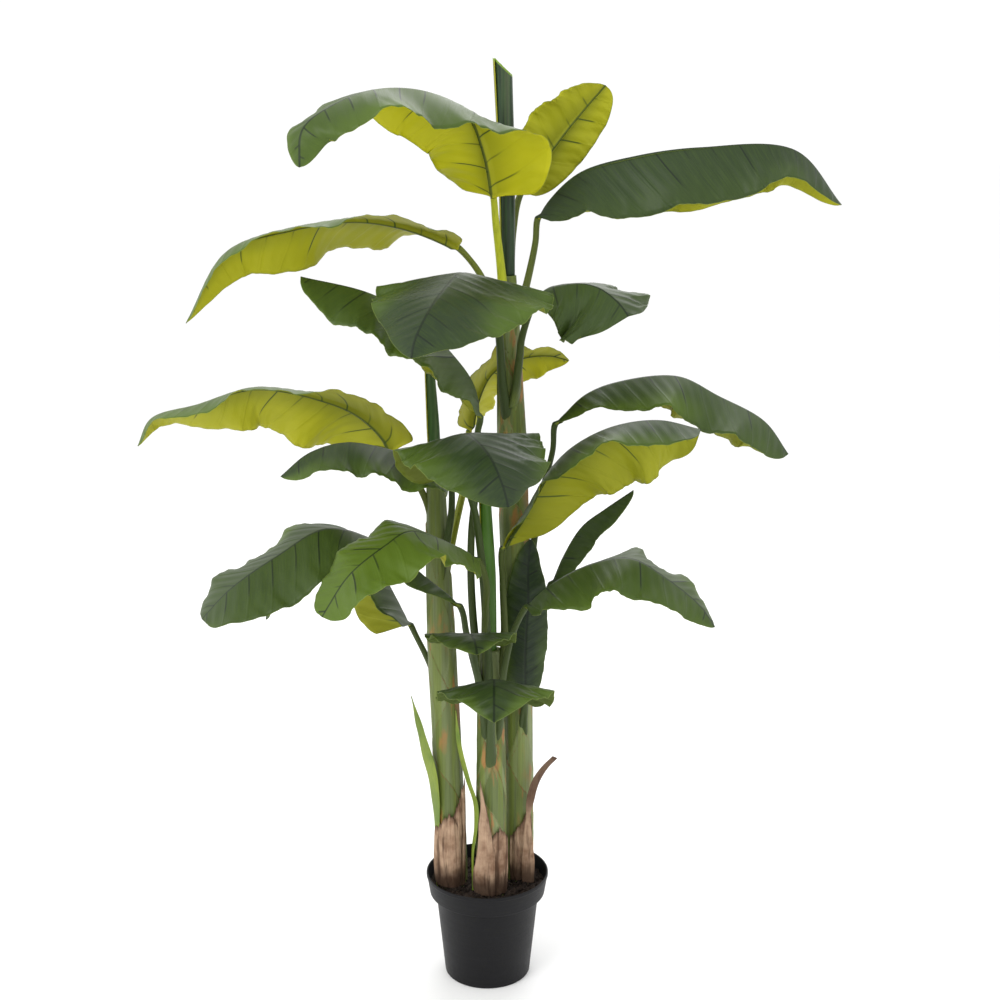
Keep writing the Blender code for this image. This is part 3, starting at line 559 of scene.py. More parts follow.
def husk_finish(colours):
    """Dry sheath: pale tan with long brown fibres, dark streaks, darker torn tips and a nearly
    black foot. An old strip is dark brown all over."""
    finish = Finish("dry_husk", {"Specular IOR Level": 0.22})
    place = finish.place()
    tip, foot, old = (finish.value(name) for name in ("to_tip", "to_foot", "old"))
    fibres = finish.noise(finish.stretched(place, 300.0, 300.0, 14.0), 1.0, 4.0, 0.65)
    streaks = finish.noise(finish.stretched(place, 80.0, 80.0, 8.0), 1.0, 3.0, 0.6)
    stains = finish.noise(place, 26.0, 3.0, 0.6)
    colour = finish.mix(stains.rise(0.35, 0.75), rgb(colours.husk), rgb(colours.husk_brown))
    colour = finish.mix(streaks.rise(0.50, 0.66) * 0.80, colour, rgb(colours.husk_brown, 0.45))
    colour = finish.mix(fibres.rise(0.55, 0.75) * 0.6, colour, rgb(colours.husk, 1.30))
    damp = (foot - streaks * 0.06).rise(0.030, -0.010)
    colour = finish.mix(damp * 0.80, colour, rgb(colours.husk_brown, 0.25))
    colour = finish.mix(tip.rise(0.012, 0.0) * 0.65, colour, rgb(colours.husk_brown, 0.45))
    colour = finish.mix(old * 0.80, colour, rgb(colours.husk_brown, 0.45))
    return finish.paint(colour, 0.78 + fibres * 0.15, fibres + streaks * 0.9, 0.0026)


def soil_finish(colours):
    """Damp soil: near-black brown with paler grains."""
    finish = Finish("potting_soil", {"Specular IOR Level": 0.3})
    place = finish.place()
    grains = finish.noise(place, 420.0, 4.0, 0.65)
    lumps = finish.noise(place, 110.0, 4.0, 0.6)
    colour = finish.mix(lumps.rise(0.35, 0.70), rgb(colours.soil), rgb(colours.soil, 2.6))
    colour = finish.mix(grains.rise(0.66, 0.78) * 0.6, colour, rgb(colours.husk_brown, 0.5))
    return finish.paint(colour, 0.82 + grains * 0.15, grains + lumps * 2.0, 0.0030)


def pot_finish(colours):
    """Moulded black plastic: satin, finely grained, with faint rubbed patches and dust."""
    finish = Finish("pot_plastic", {"Specular IOR Level": 0.20})
    place = finish.place()
    grain = finish.noise(place, 900.0, 2.0)
    rings = finish.noise(finish.stretched(place, 3.0, 3.0, 260.0), 1.0, 2.0)
    rubbed = finish.noise(finish.stretched(place, 14.0, 14.0, 30.0), 1.0, 4.0, 0.6)
    colour = finish.mix(rubbed.rise(0.50, 0.75) * 0.5, rgb(colours.pot), rgb(colours.pot, 1.7))
    rough = 0.40 + rubbed * 0.16 + grain * 0.06
    return finish.paint(colour, rough, grain * 0.5 + rings * 0.6, 0.0004)


def floor_finish():
    """A plain pale floor with the faintest unevenness in its gloss."""
    finish = Finish("pale_floor", {"Base Color": (0.97, 0.97, 0.97, 1.0), "Specular IOR Level": 0.1})
    cloud = finish.noise(finish.place(), 1.5, 2.0)
    return finish.paint(roughness=0.80 + cloud * 0.1)


def smooth_route(route, samples=400):
    """A dense centripetal Catmull-Rom curve through points in millimetres.

    Returns the points in metres, the length run at each, and the length run at each given point.
    """
    points = np.asarray(route, float) * MM
    steps = np.sqrt(np.linalg.norm(np.diff(points, axis=0), axis=1))
    knots = np.concatenate([[0.0], np.cumsum(steps)])
    ends = np.vstack([2 * points[0] - points[1], points, 2 * points[-1] - points[-2]])
    spans = np.concatenate([[-knots[1]], knots, [2 * knots[-1] - knots[-2]]])
    where = np.unique(np.concatenate([np.linspace(0, knots[-1], samples), knots]))
    first = np.clip(np.searchsorted(knots, where, side="right") - 1, 0, len(points) - 2)
    t = [spans[first + k][:, None] for k in range(4)]
    p = [ends[first + k] for k in range(4)]
    u = where[:, None]

    def mix(a, b, low, high):
        return ((high - u) * a + (u - low) * b) / (high - low)

    near, middle, far = (mix(p[k], p[k + 1], t[k], t[k + 1]) for k in range(3))
    curve = mix(mix(near, middle, t[0], t[2]), mix(middle, far, t[1], t[3]), t[1], t[2])
    run = np.concatenate([[0.0], np.cumsum(np.linalg.norm(np.diff(curve, axis=0), axis=1))])
    return curve, run, np.interp(knots, where, run)


def along(curve, run, lengths):
    """Places and unit directions of a dense curve at the lengths given."""
    step = run[-1] * 0.004

    def place(at):
        at = np.clip(at, 0, run[-1])
        return np.stack([np.interp(at, run, curve[:, axis]) for axis in range(3)], -1)

    ahead = place(lengths + step) - place(lengths - step)
    return place(lengths), ahead / np.linalg.norm(ahead, axis=-1, keepdims=True)


def eased(values, where):
    """Values at equal steps from 0 to 1, read with eased turns at each."""
    values = np.asarray(values, float)
    scaled = np.clip(where, 0, 1) * (len(values) - 1)
    low = np.minimum(scaled.astype(int), len(values) - 2)
    part = ease(scaled - low)
    return values[low] * (1 - part) + values[low + 1] * part


def ease(part):
    """The eased step 3t^2 - 2t^3 of a value held between 0 and 1."""
    part = np.clip(part, 0, 1)
    return part * part * (3 - 2 * part)


def leaf_frames(azimuth, ahead):
    """The level side direction and the upper-face direction along a leaf."""
    turn = math.radians(azimuth)
    side = np.array([math.sin(turn), -math.cos(turn), 0.0])
    side = side - (ahead @ side)[:, None] * ahead
    side /= np.linalg.norm(side, axis=-1, keepdims=True)
    return side, np.cross(side, ahead)


def waves(where, seed, count=5, lowest=2.0):
    """Smooth noise of one variable: a sum of sines whose rate doubles and whose height halves."""
    phases = np.random.default_rng(seed).uniform(0, math.tau, count)
    return sum(np.sin(math.tau * lowest * 2 ** k * where + phases[k]) / 2 ** k for k in range(count))


def ring_faces(rings, sides, first):
    """Triangles between closed rings of points, and one face over each end. The second half of a
    ring lies behind its first half, and there the patches are cut along their other diagonal, so
    that both faces of a thin sheet bend alike."""
    row, side = np.meshgrid(np.arange(rings - 1), np.arange(sides), indexing="ij")
    after = (side + 1) % sides
    low, high = row * sides, (row + 1) * sides
    behind = side >= sides // 2
    one = np.stack([low + side, low + after, np.where(behind, high + side, high + after)], -1)
    two = np.stack([np.where(behind, low + after, low + side), high + after, high + side], -1)
    start = first + np.arange(sides)[::-1]
    end = first + (rings - 1) * sides + np.arange(sides)
    triangles = np.concatenate([one.reshape(-1, 3), two.reshape(-1, 3)]) + first
    return triangles.tolist() + [start.tolist(), end.tolist()]


def make_piece(name, shells, material, nodes):
    """One piece of closed shells, each a pair of rings (rings, sides, 3) and values by name."""
    points, faces, count = [], [], 0
    for rings, _ in shells:
        faces += ring_faces(rings.shape[0], rings.shape[1], count)
        points.append(rings.reshape(-1, 3))
        count += rings.shape[0] * rings.shape[1]
    mesh = bpy.data.meshes.new(name)
    mesh.from_pydata(np.concatenate(points).tolist(), [], faces)
    mesh.shade_smooth()
    for key in shells[0][1]:
        values = [np.broadcast_to(own[key], rings.shape[:2]).ravel() for rings, own in shells]
        layer = mesh.attributes.new(key, "FLOAT", "POINT")
        layer.data.foreach_set("value", np.concatenate(values).astype(np.float32))
    mesh.materials.append(material)
    piece = bpy.data.objects.new(name, mesh)
    bpy.context.scene.collection.objects.link(piece)
    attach(piece, "root")
    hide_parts(*nodes)
    return piece


def both_faces(front, back):
    """Rings of a thin sheet: each runs over the front and returns over the back."""
    return np.concatenate([front, back[:, ::-1]], axis=1)


def blade_shell(name, sizes):
    """A leaf blade: a half turns about the midrib by an angle that grows from the midrib to the
    margin, and its width is a power of the distance from the base times one from the tip.

    The angle is the leaf's droop at that station, plus a share of the curl, plus a ripple along
    the margin. The pleats stand along the veins, which lean towards the tip. Below, the midrib
    stands out as a bell curve across the sheet.
    """
    leaf = LEAVES[name]
    seed = list(LEAVES).index(name) + 1
    curve, run, marks = smooth_route(leaf["route"])
    start = marks[leaf["blade_from"]]
    even = np.linspace(0, 1, sizes.blade_stations)
    where = 0.5 * even + 0.5 * (1 - np.cos(math.pi * even)) / 2
    length = run[-1] - start
    at = where * length
    places, ahead = along(curve, run, start + at)
    side, up = leaf_frames(leaf["azimuth"], ahead)
    low, high = leaf.get("powers", BLADE_OUTLINE)
    widest = low / (low + high)
    outline = (where / widest) ** low * (np.clip(1 - where, 0, 1) / (1 - widest)) ** high
    rib_half = np.interp(where, (0, 1), (STALK_END_RADIUS * 0.85, 0.0012))[:, None]
    rib_depth = np.interp(where, (0, 1), (sizes.rib_depth, 0.0008))[:, None]
    step = np.linspace(0, 1, sizes.half_steps + 1)
    share = 0.25 * step + 0.75 * step ** 2.2
    middle = (share[1:] + share[:-1]) / 2
    fronts, backs, values = [], [], []
    for sign, half, key in ((-1, 0, "droop_left"), (1, 1, "droop_right")):
        torn = 1 + 0.008 * waves(where, seed * 2 + half, 4, 3.0)
        width = np.maximum(leaf["widths"][half] * outline * torn, 0.0006)
        phase = seed * (1.3 + 0.8 * half) + half
        ripple = leaf["ripple"] * np.sin(math.tau * RIPPLES * where + phase)
        scallop = sizes.scallop * waves(where, seed * 5 + half, 3, 7.0)
        angle = eased(leaf[key], where)[:, None] + CURL * middle + ripple[:, None] * middle ** 0.5
        angle = np.radians(angle + scallop[:, None] * middle ** 2)[..., None]
        out = sign * side[:, None] * np.cos(angle) - up[:, None] * np.sin(angle)
        face = up[:, None] * np.cos(angle) + sign * side[:, None] * np.sin(angle)
        moves = out * (width[:, None] * np.diff(share))[..., None]
        points = np.concatenate([places[:, None], places[:, None] + np.cumsum(moves, axis=1)], 1)
        face = np.concatenate([up[:, None], face], 1)
        away = width[:, None] * share
        vein = at[:, None] - 0.45 * away - 1.2 * away ** 2
        pleat = np.cos(math.tau * vein / PLEAT_SPACING) * 4 * share * (1 - share) * sizes.pleat
        bell = np.exp(-(away / rib_half) ** 2)
        groove = 0.0016 * (1 - where)[:, None] * np.exp(-(away / (0.6 * rib_half)) ** 2)
        front = points + face * (pleat - groove)[..., None]
        thick = sizes.leaf_thickness * (1 - 0.4 * share) + rib_depth * bell
        fronts.append(front)
        backs.append(front - face * thick[..., None])
        values.append(dict(vein=vein, from_rib=away, to_edge=width[:, None] - away,
                           across=sign * np.broadcast_to(share, away.shape)))
    front = np.concatenate([fronts[0][:, :0:-1], fronts[1]], 1)
    back = np.concatenate([backs[0][:, :0:-1], backs[1]], 1)
    rings = both_faces(front, back)
    count = rings.shape[1]
    turns = math.pi - math.tau * (np.arange(count) + 0.5) / count
    round_end = np.cos(turns)[:, None] * side[0] + np.sin(turns)[:, None] * up[0]
    butt = places[:, None] + STALK_END_RADIUS * round_end
    blend = ease(at / 0.012)[:, None, None]
    rings = butt * (1 - blend) + rings * blend
    own = {}
    for key in values[0]:
        one = np.concatenate([values[0][key][:, :0:-1], values[1][key]], 1)
        own[key] = np.concatenate([one, one[:, ::-1]], 1)
    own["under"] = (np.arange(count) >= count // 2).astype(float)[None]
    # Painted light in part: how yellow each half's lower face is, for light shining through the leaf, and how
    # dark, for shade
    fresh, light_left, light_right = LEAF_TONES[name]
    own["tone"] = np.full((1, 1), fresh)
    own["underside_light"] = np.where(own["across"] < 0, light_left, light_right)
    return rings, own


def stalk_shell(leaf, tint):
    """A leaf stalk: a round of falling radius along the route, hollowed to a channel on top, and
    wider sideways near its root, where it clasps the stem."""
    curve, run, marks = smooth_route(leaf["route"])
    end = marks[leaf["blade_from"]]
    lengths = np.linspace(0, end, 70)
    places, ahead = along(curve, run, lengths)
    side, up = leaf_frames(leaf["azimuth"], ahead)
    radius = np.interp(lengths, (0, end), (STALK_ROOT_RADIUS, STALK_END_RADIUS))[:, None]
    turns = math.tau * np.arange(28) / 28
    clasp = 1 + 1.1 * np.exp(-lengths / 0.035)[:, None]
    near_top = np.exp(-((np.abs(turns - 1.5 * math.pi)) / 0.55) ** 2)
    hollow = 0.45 * ease(lengths / 0.05) * ease((end - lengths) / 0.04)
    lift = radius * (1 - hollow[:, None] * near_top)
    rings = (places[:, None] + side[:, None] * (radius * clasp * np.cos(turns))[..., None]
             - up[:, None] * (lift * np.sin(turns))[..., None])
    own = dict(below_edge=np.full((1, 1), 1.0), stalk=ease(lengths / 0.05)[:, None],
               tint=np.full((1, 1), tint))
    return rings, own


def trunk_shell(name, shape):
    """A trunk of sheaths: the radius falls with height, and below each sheath's edge it is wider
    by a step that fades out downwards. An edge is highest at its leaf's stalk and falls away
    steeply round the trunk to the far side."""
    curve, _, _ = smooth_route(shape["route"])
    low, top = curve[0, 2], curve[-1, 2]
    heights = np.append(np.arange(low, top, 0.003), top)[:, None]
    turns = (math.tau * np.arange(96) / 96)[None]
    given = np.linspace(SOIL_TOP, top, len(shape["radii"]))
    radius = np.interp(heights, given, shape["radii"]) * np.ones_like(turns)
    foot = np.interp(heights, (SOIL_TOP, SOIL_TOP + 0.05), (1, 0))
    radius = radius * (1 - foot) + np.maximum(radius, STEM_FOOT_RADIUS * 0.98) * foot
    edges = [(height * MM, index * 2.4 + 1.0, 0.16) for index, height in enumerate(shape["sheaths"])]
    for leaf in LEAVES.values():
        if leaf["stem"] == name:
            x, y, height = (value * MM for value in leaf["route"][1])
            centre = [np.interp(height, curve[:, 2], curve[:, axis]) for axis in range(2)]
            edges.append((leaf["route"][0][2] * MM + 0.045, math.atan2(y - centre[1], x - centre[0]), 0.27))
    chances = np.random.default_rng(len(edges)).uniform(0, 1, len(edges))
    below = np.full(radius.shape, 1.0)
    step = np.zeros(radius.shape)
    tint = np.full(radius.shape, 0.5)
    for (height, turn, fall), own in zip(edges, chances):
        apart = np.abs((turns - turn + math.pi) % math.tau - math.pi) / math.pi
        edge = height - fall * apart ** 1.2 + 0.003 * waves(turns / math.tau, int(height * 1000), 4, 3.0)
        depth = edge - heights
        step = np.maximum(step, 0.0018 * ease(depth / 0.0020) * np.exp(-np.maximum(depth, 0) / 0.12))
        nearest = (depth > 0) & (depth < below)
        below = np.where(nearest, depth, below)
        tint = np.where(nearest, own, tint)
    radius = radius + step + 0.0004 * np.sin(turns * 9 + heights * 4)
    centre_x = np.interp(heights, curve[:, 2], curve[:, 0])
    centre_y = np.interp(heights, curve[:, 2], curve[:, 1])
    rings = np.stack([centre_x + radius * np.cos(turns), centre_y + radius * np.sin(turns),
                      heights + 0 * turns], -1)
    return rings, dict(below_edge=below, stalk=np.zeros((1, 1)), tint=tint)


def roll_shell(shape, drop, young):
    """A leaf rolled to a tube: a spiral of nearly two turns, whose radius shrinks as it winds in,
    with a slanting mouth that is highest on the left. A young one is a brighter green."""
    curve, run, _ = smooth_route(shape["route"])
    rows, columns = 70, 90
    share = np.linspace(0, 1, rows)[None]
    wind = np.linspace(0, 1.9 * math.tau, columns)[:, None]
    turn = math.radians(215) - wind
    places, _ = along(curve, run, (share[0] * run[-1]))
    given = np.linspace(0, 1, len(shape["radii"]))
    radius = np.interp(share, given, shape["radii"]) - 0.0022 * wind / math.tau * (0.4 + share)
    outer, inner = radius, radius - 0.0009
    height = places[None, :, 2] + GAP
    mouth = (drop * (0.5 + 0.5 * np.cos(turn)) - MOUTH_RISE) * ease((share - 0.5) / 0.5)
    fronts = []
    for face in (outer, inner):
        fronts.append(np.stack([places[None, :, 0] + face * np.cos(turn),
                                places[None, :, 1] + face * np.sin(turn),
                                height - mouth], -1))
    rings = both_faces(fronts[0], fronts[1])
    inside = np.concatenate([np.zeros((1, rows)), np.ones((1, rows))], 1)
    to_mouth = np.broadcast_to((1 - share) * run[-1], (columns, rows))
    seam = np.broadcast_to(wind * 0.014, (columns, rows))
    own = dict(inside=inside, to_mouth=both_faces(to_mouth, to_mouth),
               to_seam=both_faces(seam, seam), young=np.full((1, 1), young))
    return rings, own


def shoot_shell(shape, facing, twist):
    """A tapering shoot or strip of oval section along a route, which twists on its way."""
    curve, run, _ = smooth_route(shape["route"])
    share = np.linspace(0, 1, 80)
    places, ahead = along(curve, run, share * run[-1])
    side, up = leaf_frames(facing, ahead)
    widths = eased(shape["widths"], share)[:, None]
    thicks = eased(shape["thicks"], share)[:, None]
    turns = (math.tau * np.arange(24) / 24)[None]
    spin = (twist * ease((share - 0.35) / 0.6))[:, None]
    wide, thin = widths * np.cos(turns), thicks * np.sin(turns)
    x = wide * np.cos(spin) - thin * np.sin(spin)
    y = wide * np.sin(spin) + thin * np.cos(spin)
    rings = places[:, None] + side[:, None] * x[..., None] - up[:, None] * y[..., None]
    own = dict(to_tip=((1 - share) * run[-1])[:, None], to_foot=(share * run[-1])[:, None],
               old=ease((share - 0.45) / 0.2)[:, None])
    return rings, own


def husk_shell(name, shape):
    """A dry sheath round a stem's foot: its torn edge falls on both sides of a peak by a power of
    the distance, it leans with a power of the height, bulges at a third of its height and is
    creased along it."""
    centre = np.array(STEMS[shape["stem"]]["route"][1][:2]) * MM
    seed = list(HUSKS).index(name) * 11
    share = np.linspace(-1, 1, 90)[:, None]
    rise = np.linspace(0, 1, 60)[None]
    torn = 0.025 * np.abs(waves(share, seed, 4, 1.5)) + 0.02 * np.abs(waves(share, seed + 1, 3, 9.0))
    fall = shape["jag"] * np.abs(share - shape["peak"]) ** HUSK_FALL
    reach = np.clip(1 - fall - torn, 0.2, 1) * rise
    lean = shape["lean"] * (1 - share ** 2) * reach ** HUSK_BEND
    turn = np.radians(shape["azimuth"] + shape["spread"] * share + lean)
    swell = 0.0004 if name.endswith("inner") else 0.0028
    bulge = swell * np.sin(math.pi * rise ** 0.7) - 0.003 * (1 - rise) ** 3 - 0.002 * rise ** 6
    crease = 0.0011 * waves(share + 0.10 * rise, seed + 2, 4, 1.6) * (0.3 + rise)
    edge = -0.0015 * ease((np.abs(share) - 0.8) / 0.2)
    radius = shape["radius"] - 0.0006 + bulge + crease + edge
    heights = SOIL_TOP + GAP + shape["height"] * reach
    faces = []
    for face in (radius, radius - HUSK_THICK * 0.5):
        faces.append(np.stack([centre[0] + face * np.cos(turn), centre[1] + face * np.sin(turn),
                               heights], -1))
    rings = both_faces(faces[1], faces[0])
    to_foot = shape["height"] * reach
    to_tip = shape["height"] * (reach[:, -1:] - reach)
    own = dict(to_tip=both_faces(to_tip, to_tip), to_foot=both_faces(to_foot, to_foot),
               old=np.zeros((1, 1)))
    return rings, own


def turned_rings(profile, sides=128):
    """Rings about the Z axis, one for each radius and height of a profile."""
    profile = np.asarray(profile)
    turns = math.tau * np.arange(sides) / sides
    radius, height = profile[:, :1], profile[:, 1:]
    return np.stack([radius * np.cos(turns), radius * np.sin(turns), height + 0 * turns], -1)


def rounded(corner, before, after, size, steps=5):
    """A corner of a profile cut to a quadratic curve that starts and ends at that size from it."""
    corner, before, after = (np.asarray(point, float) for point in (corner, before, after))
    start = corner + (before - corner) * size / np.linalg.norm(before - corner)
    end = corner + (after - corner) * size / np.linalg.norm(after - corner)
    t = np.linspace(0, 1, steps)[:, None]
    return ((1 - t) ** 2 * start + 2 * t * (1 - t) * corner + t ** 2 * end).tolist()


def pot_shell():
    """The pot's wall: its profile from the middle of the foot up the outside, over the rim and
    down the inside, with rounded corners and a bead under the rim."""
    lip_low = POT_HEIGHT - POT_LIP_HEIGHT
    wall = POT_WALL
    corners = [
        ((0.0004, 0.0), 0), ((POT_FOOT_RADIUS, 0.0), POT_FOOT_ROUND),
        ((POT_BODY_TOP_RADIUS, lip_low), 0.003), ((POT_LIP_LOW_RADIUS, lip_low), 0.0022),
        ((POT_RIM_RADIUS - 0.0012, POT_HEIGHT - 0.008), 0.001), ((POT_RIM_RADIUS, POT_HEIGHT - 0.007), 0.001),
        ((POT_RIM_RADIUS, POT_HEIGHT), 0.0014), ((POT_RIM_RADIUS - wall, POT_HEIGHT), 0.0014),
        ((POT_LIP_LOW_RADIUS - wall, lip_low + wall), 0.002),
        ((POT_BODY_TOP_RADIUS - wall, lip_low + wall), 0.002),
        ((POT_FOOT_RADIUS - wall, wall), 0.003), ((0.0004, wall), 0),
    ]
    profile = [corners[0][0]]
    for before, (corner, size), after in zip(corners, corners[1:], corners[2:]):
        profile += rounded(corner, before[0], after[0], size)
    profile.append(corners[-1][0])
    return turned_rings(profile), {}


def soil_shell():
    """The soil: a solid that fills the pot, whose top is lumpy by sums of sines in X and Y."""
    lip_low = POT_HEIGHT - POT_LIP_HEIGHT
    throat = POT_LIP_LOW_RADIUS - POT_WALL
    top_radius = throat + (POT_RIM_RADIUS - POT_LIP_LOW_RADIUS) * (SOIL_TOP - lip_low) / POT_LIP_HEIGHT
    side = [(0.0004, POT_WALL + GAP), (POT_FOOT_RADIUS - POT_WALL - GAP, POT_WALL + GAP),
            (POT_BODY_TOP_RADIUS - POT_WALL - GAP, lip_low + POT_WALL + GAP),
            (throat - GAP, lip_low + POT_WALL + GAP)]
    inward = np.linspace(1, 0, 60)
    surface = [(max((top_radius - GAP) * part, 0.0004), SOIL_TOP - 0.001) for part in inward]
    rings = turned_rings(side + surface, 144)
    bed = rings[len(side):]
    radius = np.hypot(bed[..., 0], bed[..., 1])
    lumps = np.zeros(radius.shape)
    chances = np.random.default_rng(5)
    for size, depth in ((0.035, 0.0022), (0.016, 0.0014), (0.008, 0.0010), (0.0045, 0.0006)):
        for _ in range(4):
            turn, phase = chances.uniform(0, math.tau, 2)
            across = bed[..., 0] * math.cos(turn) + bed[..., 1] * math.sin(turn)
            lumps += depth / 2 * np.sin(math.tau * across / size + phase)
    calm = ease(radius / 0.004)
    bed[..., 2] += lumps * calm - 0.003 * ease((radius - 0.085) / 0.03)
    return rings, {}


def crumb_shells(count):
    """Crumbs of soil: each is four rings of six points about its own middle, pushed in and out
    by chance, lying on the soil's top."""
    chances = np.random.default_rng(11)
    radius = 0.108 * np.sqrt(chances.uniform(0, 1, count))
    turn = chances.uniform(0, math.tau, count)
    size = chances.uniform(0.0016, 0.0046, count)
    middles = np.stack([radius * np.cos(turn), radius * np.sin(turn),
                        SOIL_TOP + size * 0.2 - 0.003 * ease((radius - 0.085) / 0.03)], -1)
    tilt = np.array([-1.0, -0.45, 0.45, 1.0])
    ring = np.sqrt(np.maximum(1 - tilt ** 2, 0.05))
    turns = math.tau * np.arange(6) / 6
    unit = np.stack([ring[:, None] * np.cos(turns), ring[:, None] * np.sin(turns),
                     tilt[:, None] + 0 * turns], -1)
    shape = (unit[None] * chances.uniform(0.65, 1.15, (count, 4, 6, 1))
             * chances.uniform(0.6, 1.3, (count, 1, 1, 3)))
    rings = middles[:, None, None] + shape * size[:, None, None, None]
    return [(one, {}) for one in rings]


def floor_points():
    """The four corners of a plain floor that reaches far beyond the plant."""
    across, depth = np.meshgrid([-30.0, 30.0], [-12.0, 45.0])
    return np.stack([across, depth, np.zeros((2, 2))], -1).reshape(-1, 3)


class BananaPlantSizes(bpy.types.PropertyGroup):
    """Sizes of the fine surfaces."""

    leaf_thickness: FloatProperty(name="Leaf thickness", description="Thickness of a leaf's sheet",
                                  default=0.0009, min=0.0006, unit="LENGTH")
    rib_depth: FloatProperty(name="Midrib depth", description="Depth of the midrib at a leaf's base",
                             default=0.0085, min=0.0, unit="LENGTH")
    pleat: FloatProperty(name="Pleat height", description="Height of the pleats between the veins",
                         default=0.0007, min=0.0, unit="LENGTH")
    scallop: FloatProperty(name="Scallops",
                           description="Turn of the short waves at a leaf's margin, in degrees",
                           default=5.0, min=0.0)
    blade_stations: IntProperty(name="Blade stations", description="Rows of points along a leaf", default=130,
                                min=20)
    half_steps: IntProperty(name="Half steps", description="Points from the midrib to the margin", default=20,
                            min=4)
    crumbs: IntProperty(name="Crumbs", description="Number of loose crumbs on the soil", default=420, min=0)


def colour_property(name, description, default):
    return FloatVectorProperty(name=name, description=description, default=default, subtype="COLOR",
                               size=3, min=0.0, max=1.0)


class BananaPlantColours(bpy.types.PropertyGroup):
    """Colours of the finishes."""

    upper_dark: colour_property("Dark leaf", "Upper face of a dark leaf", (0.014, 0.028, 0.012))
    upper_fresh: colour_property("Fresh leaf", "Upper face of a fresh leaf", (0.110, 0.180, 0.014))
    # The underside colours hold painted light in part: the green for a lower face in shade, the yellow for
    # one lit through from behind
    lower_green: colour_property("Leaf underside", "Lower face of a green leaf", (0.060, 0.095, 0.012))
    lower_yellow: colour_property("Yellow underside", "Lower face of a yellow leaf", (0.560, 0.540, 0.008))
    margin: colour_property("Leaf margin", "Thin pale line along a leaf's margin", (0.200, 0.260, 0.050))
    vein: colour_property("Veins", "Dark veins on a leaf's lower face", (0.035, 0.070, 0.010))
    roll: colour_property("Rolled leaf", "Outside of a rolled leaf", (0.025, 0.060, 0.020))
    roll_fresh: colour_property("Fresh roll", "Outside of a young rolled leaf", (0.060, 0.150, 0.015))
    stem: colour_property("Stem", "Green of the stems", (0.075, 0.105, 0.022))
    stem_pale: colour_property("Pale stem", "Paler green of the stems", (0.200, 0.240, 0.100))
    stem_yellow: colour_property("Stem strips", "Yellow-green strips of the stems", (0.150, 0.200, 0.016))
    stalk: colour_property("Stalk", "Green of the leaf stalks", (0.040, 0.065, 0.012))
    stalk_yellow: colour_property("Yellow stalk", "A leaf stalk that is still pale", (0.420, 0.460, 0.015))
    sheath_edge: colour_property("Sheath edge", "Dry edge of a sheath", (0.260, 0.105, 0.030))
    husk: colour_property("Husk", "Dry husks", (0.440, 0.300, 0.200))
    husk_brown: colour_property("Husk brown", "Brown stains of the husks", (0.170, 0.090, 0.052))
    soil: colour_property("Soil", "Damp soil", (0.016, 0.010, 0.007))
    pot: colour_property("Pot", "Black plastic of the pot", (0.0045, 0.0045, 0.0055))


def settings():
    scene = bpy.context.scene
    return scene.banana_plant_sizes, scene.banana_plant_colours


class BANANA_OT_pot(bpy.types.Operator):
    """Make the plastic pot"""

    bl_idname = "banana.pot"
    bl_label = "Pot"

    def execute(self, context):
        make_piece("pot_wall", [pot_shell()], pot_finish(settings()[1]), ["pot"])
        return {"FINISHED"}


class BANANA_OT_soil(bpy.types.Operator):
    """Make the soil and its loose crumbs"""

    bl_idname = "banana.soil"
    bl_label = "Soil"

    def execute(self, context):
        sizes, colours = settings()
        look = soil_finish(colours)
        make_piece("soil_bed", [soil_shell()], look, ["soil"])
        make_piece("soil_crumbs", crumb_shells(sizes.crumbs), look, ["soil"])
        return {"FINISHED"}


class BANANA_OT_stems(bpy.types.Operator):
    """Make the stems of sheaths, with the stalks of their leaves"""

    bl_idname = "banana.stems"
    bl_label = "Stems"

    def execute(self, context):
        look = stem_finish(settings()[1])
        for name, shape in STEMS.items():
            shells = [trunk_shell(name, shape)]
            for leaf_name, leaf in LEAVES.items():
                if leaf["stem"] == name:
                    # A stalk's yellow follows its leaf's left lower half, so it carries that half's painted
                    # light and shade
                    shells.append(stalk_shell(leaf, LEAF_TONES[leaf_name][1] ** 4))
            make_piece(f"{name}_sheaths", shells, look, [name])
        return {"FINISHED"}


class BANANA_OT_rolled_leaves(bpy.types.Operator):
    """Make the leaves that are still rolled"""

    bl_idname = "banana.rolled_leaves"
    bl_label = "Rolled leaves"

    def execute(self, context):
        look = roll_finish(settings()[1])
        for name, shape in ROLLED.items():
            drop = 0.030 if name == "rolled_leaf_tall" else 0.015
            shells = [roll_shell(shape, drop, ROLL_FRESHNESS[name])]
            make_piece(f"{name}_roll", shells, look, [name])
        return {"FINISHED"}


class BANANA_OT_leaves(bpy.types.Operator):
    """Make the open leaves"""

    bl_idname = "banana.leaves"
    bl_label = "Leaves"

    def execute(self, context):
        sizes, colours = settings()
        look = leaf_finish(colours)
        for name in LEAVES:
            make_piece(f"{name}_blade", [blade_shell(name, sizes)], look, [name])
        return {"FINISHED"}


class BANANA_OT_sprouts(bpy.types.Operator):
    """Make the young sprouts"""

    bl_idname = "banana.sprouts"
    bl_label = "Sprouts"

    def execute(self, context):
        look = sprout_finish(settings()[1])
        for name, shape in SPROUTS.items():
            make_piece(f"{name}_shoot", [shoot_shell(shape, shape["facing"], 0.3)], look, [name])
        return {"FINISHED"}


class BANANA_OT_husks(bpy.types.Operator):
    """Make the dry husks round the feet of the stems"""

    bl_idname = "banana.husks"
    bl_label = "Husks"

    def execute(self, context):
        look = husk_finish(settings()[1])
        for name, shape in HUSKS.items():
            make_piece(f"{name}_sheath", [husk_shell(name, shape)], look, [name])
        make_piece("husk_curl_strip", [shoot_shell(HUSK_CURL, 270, 0.7)], look, ["husk_curl"])
        return {"FINISHED"}


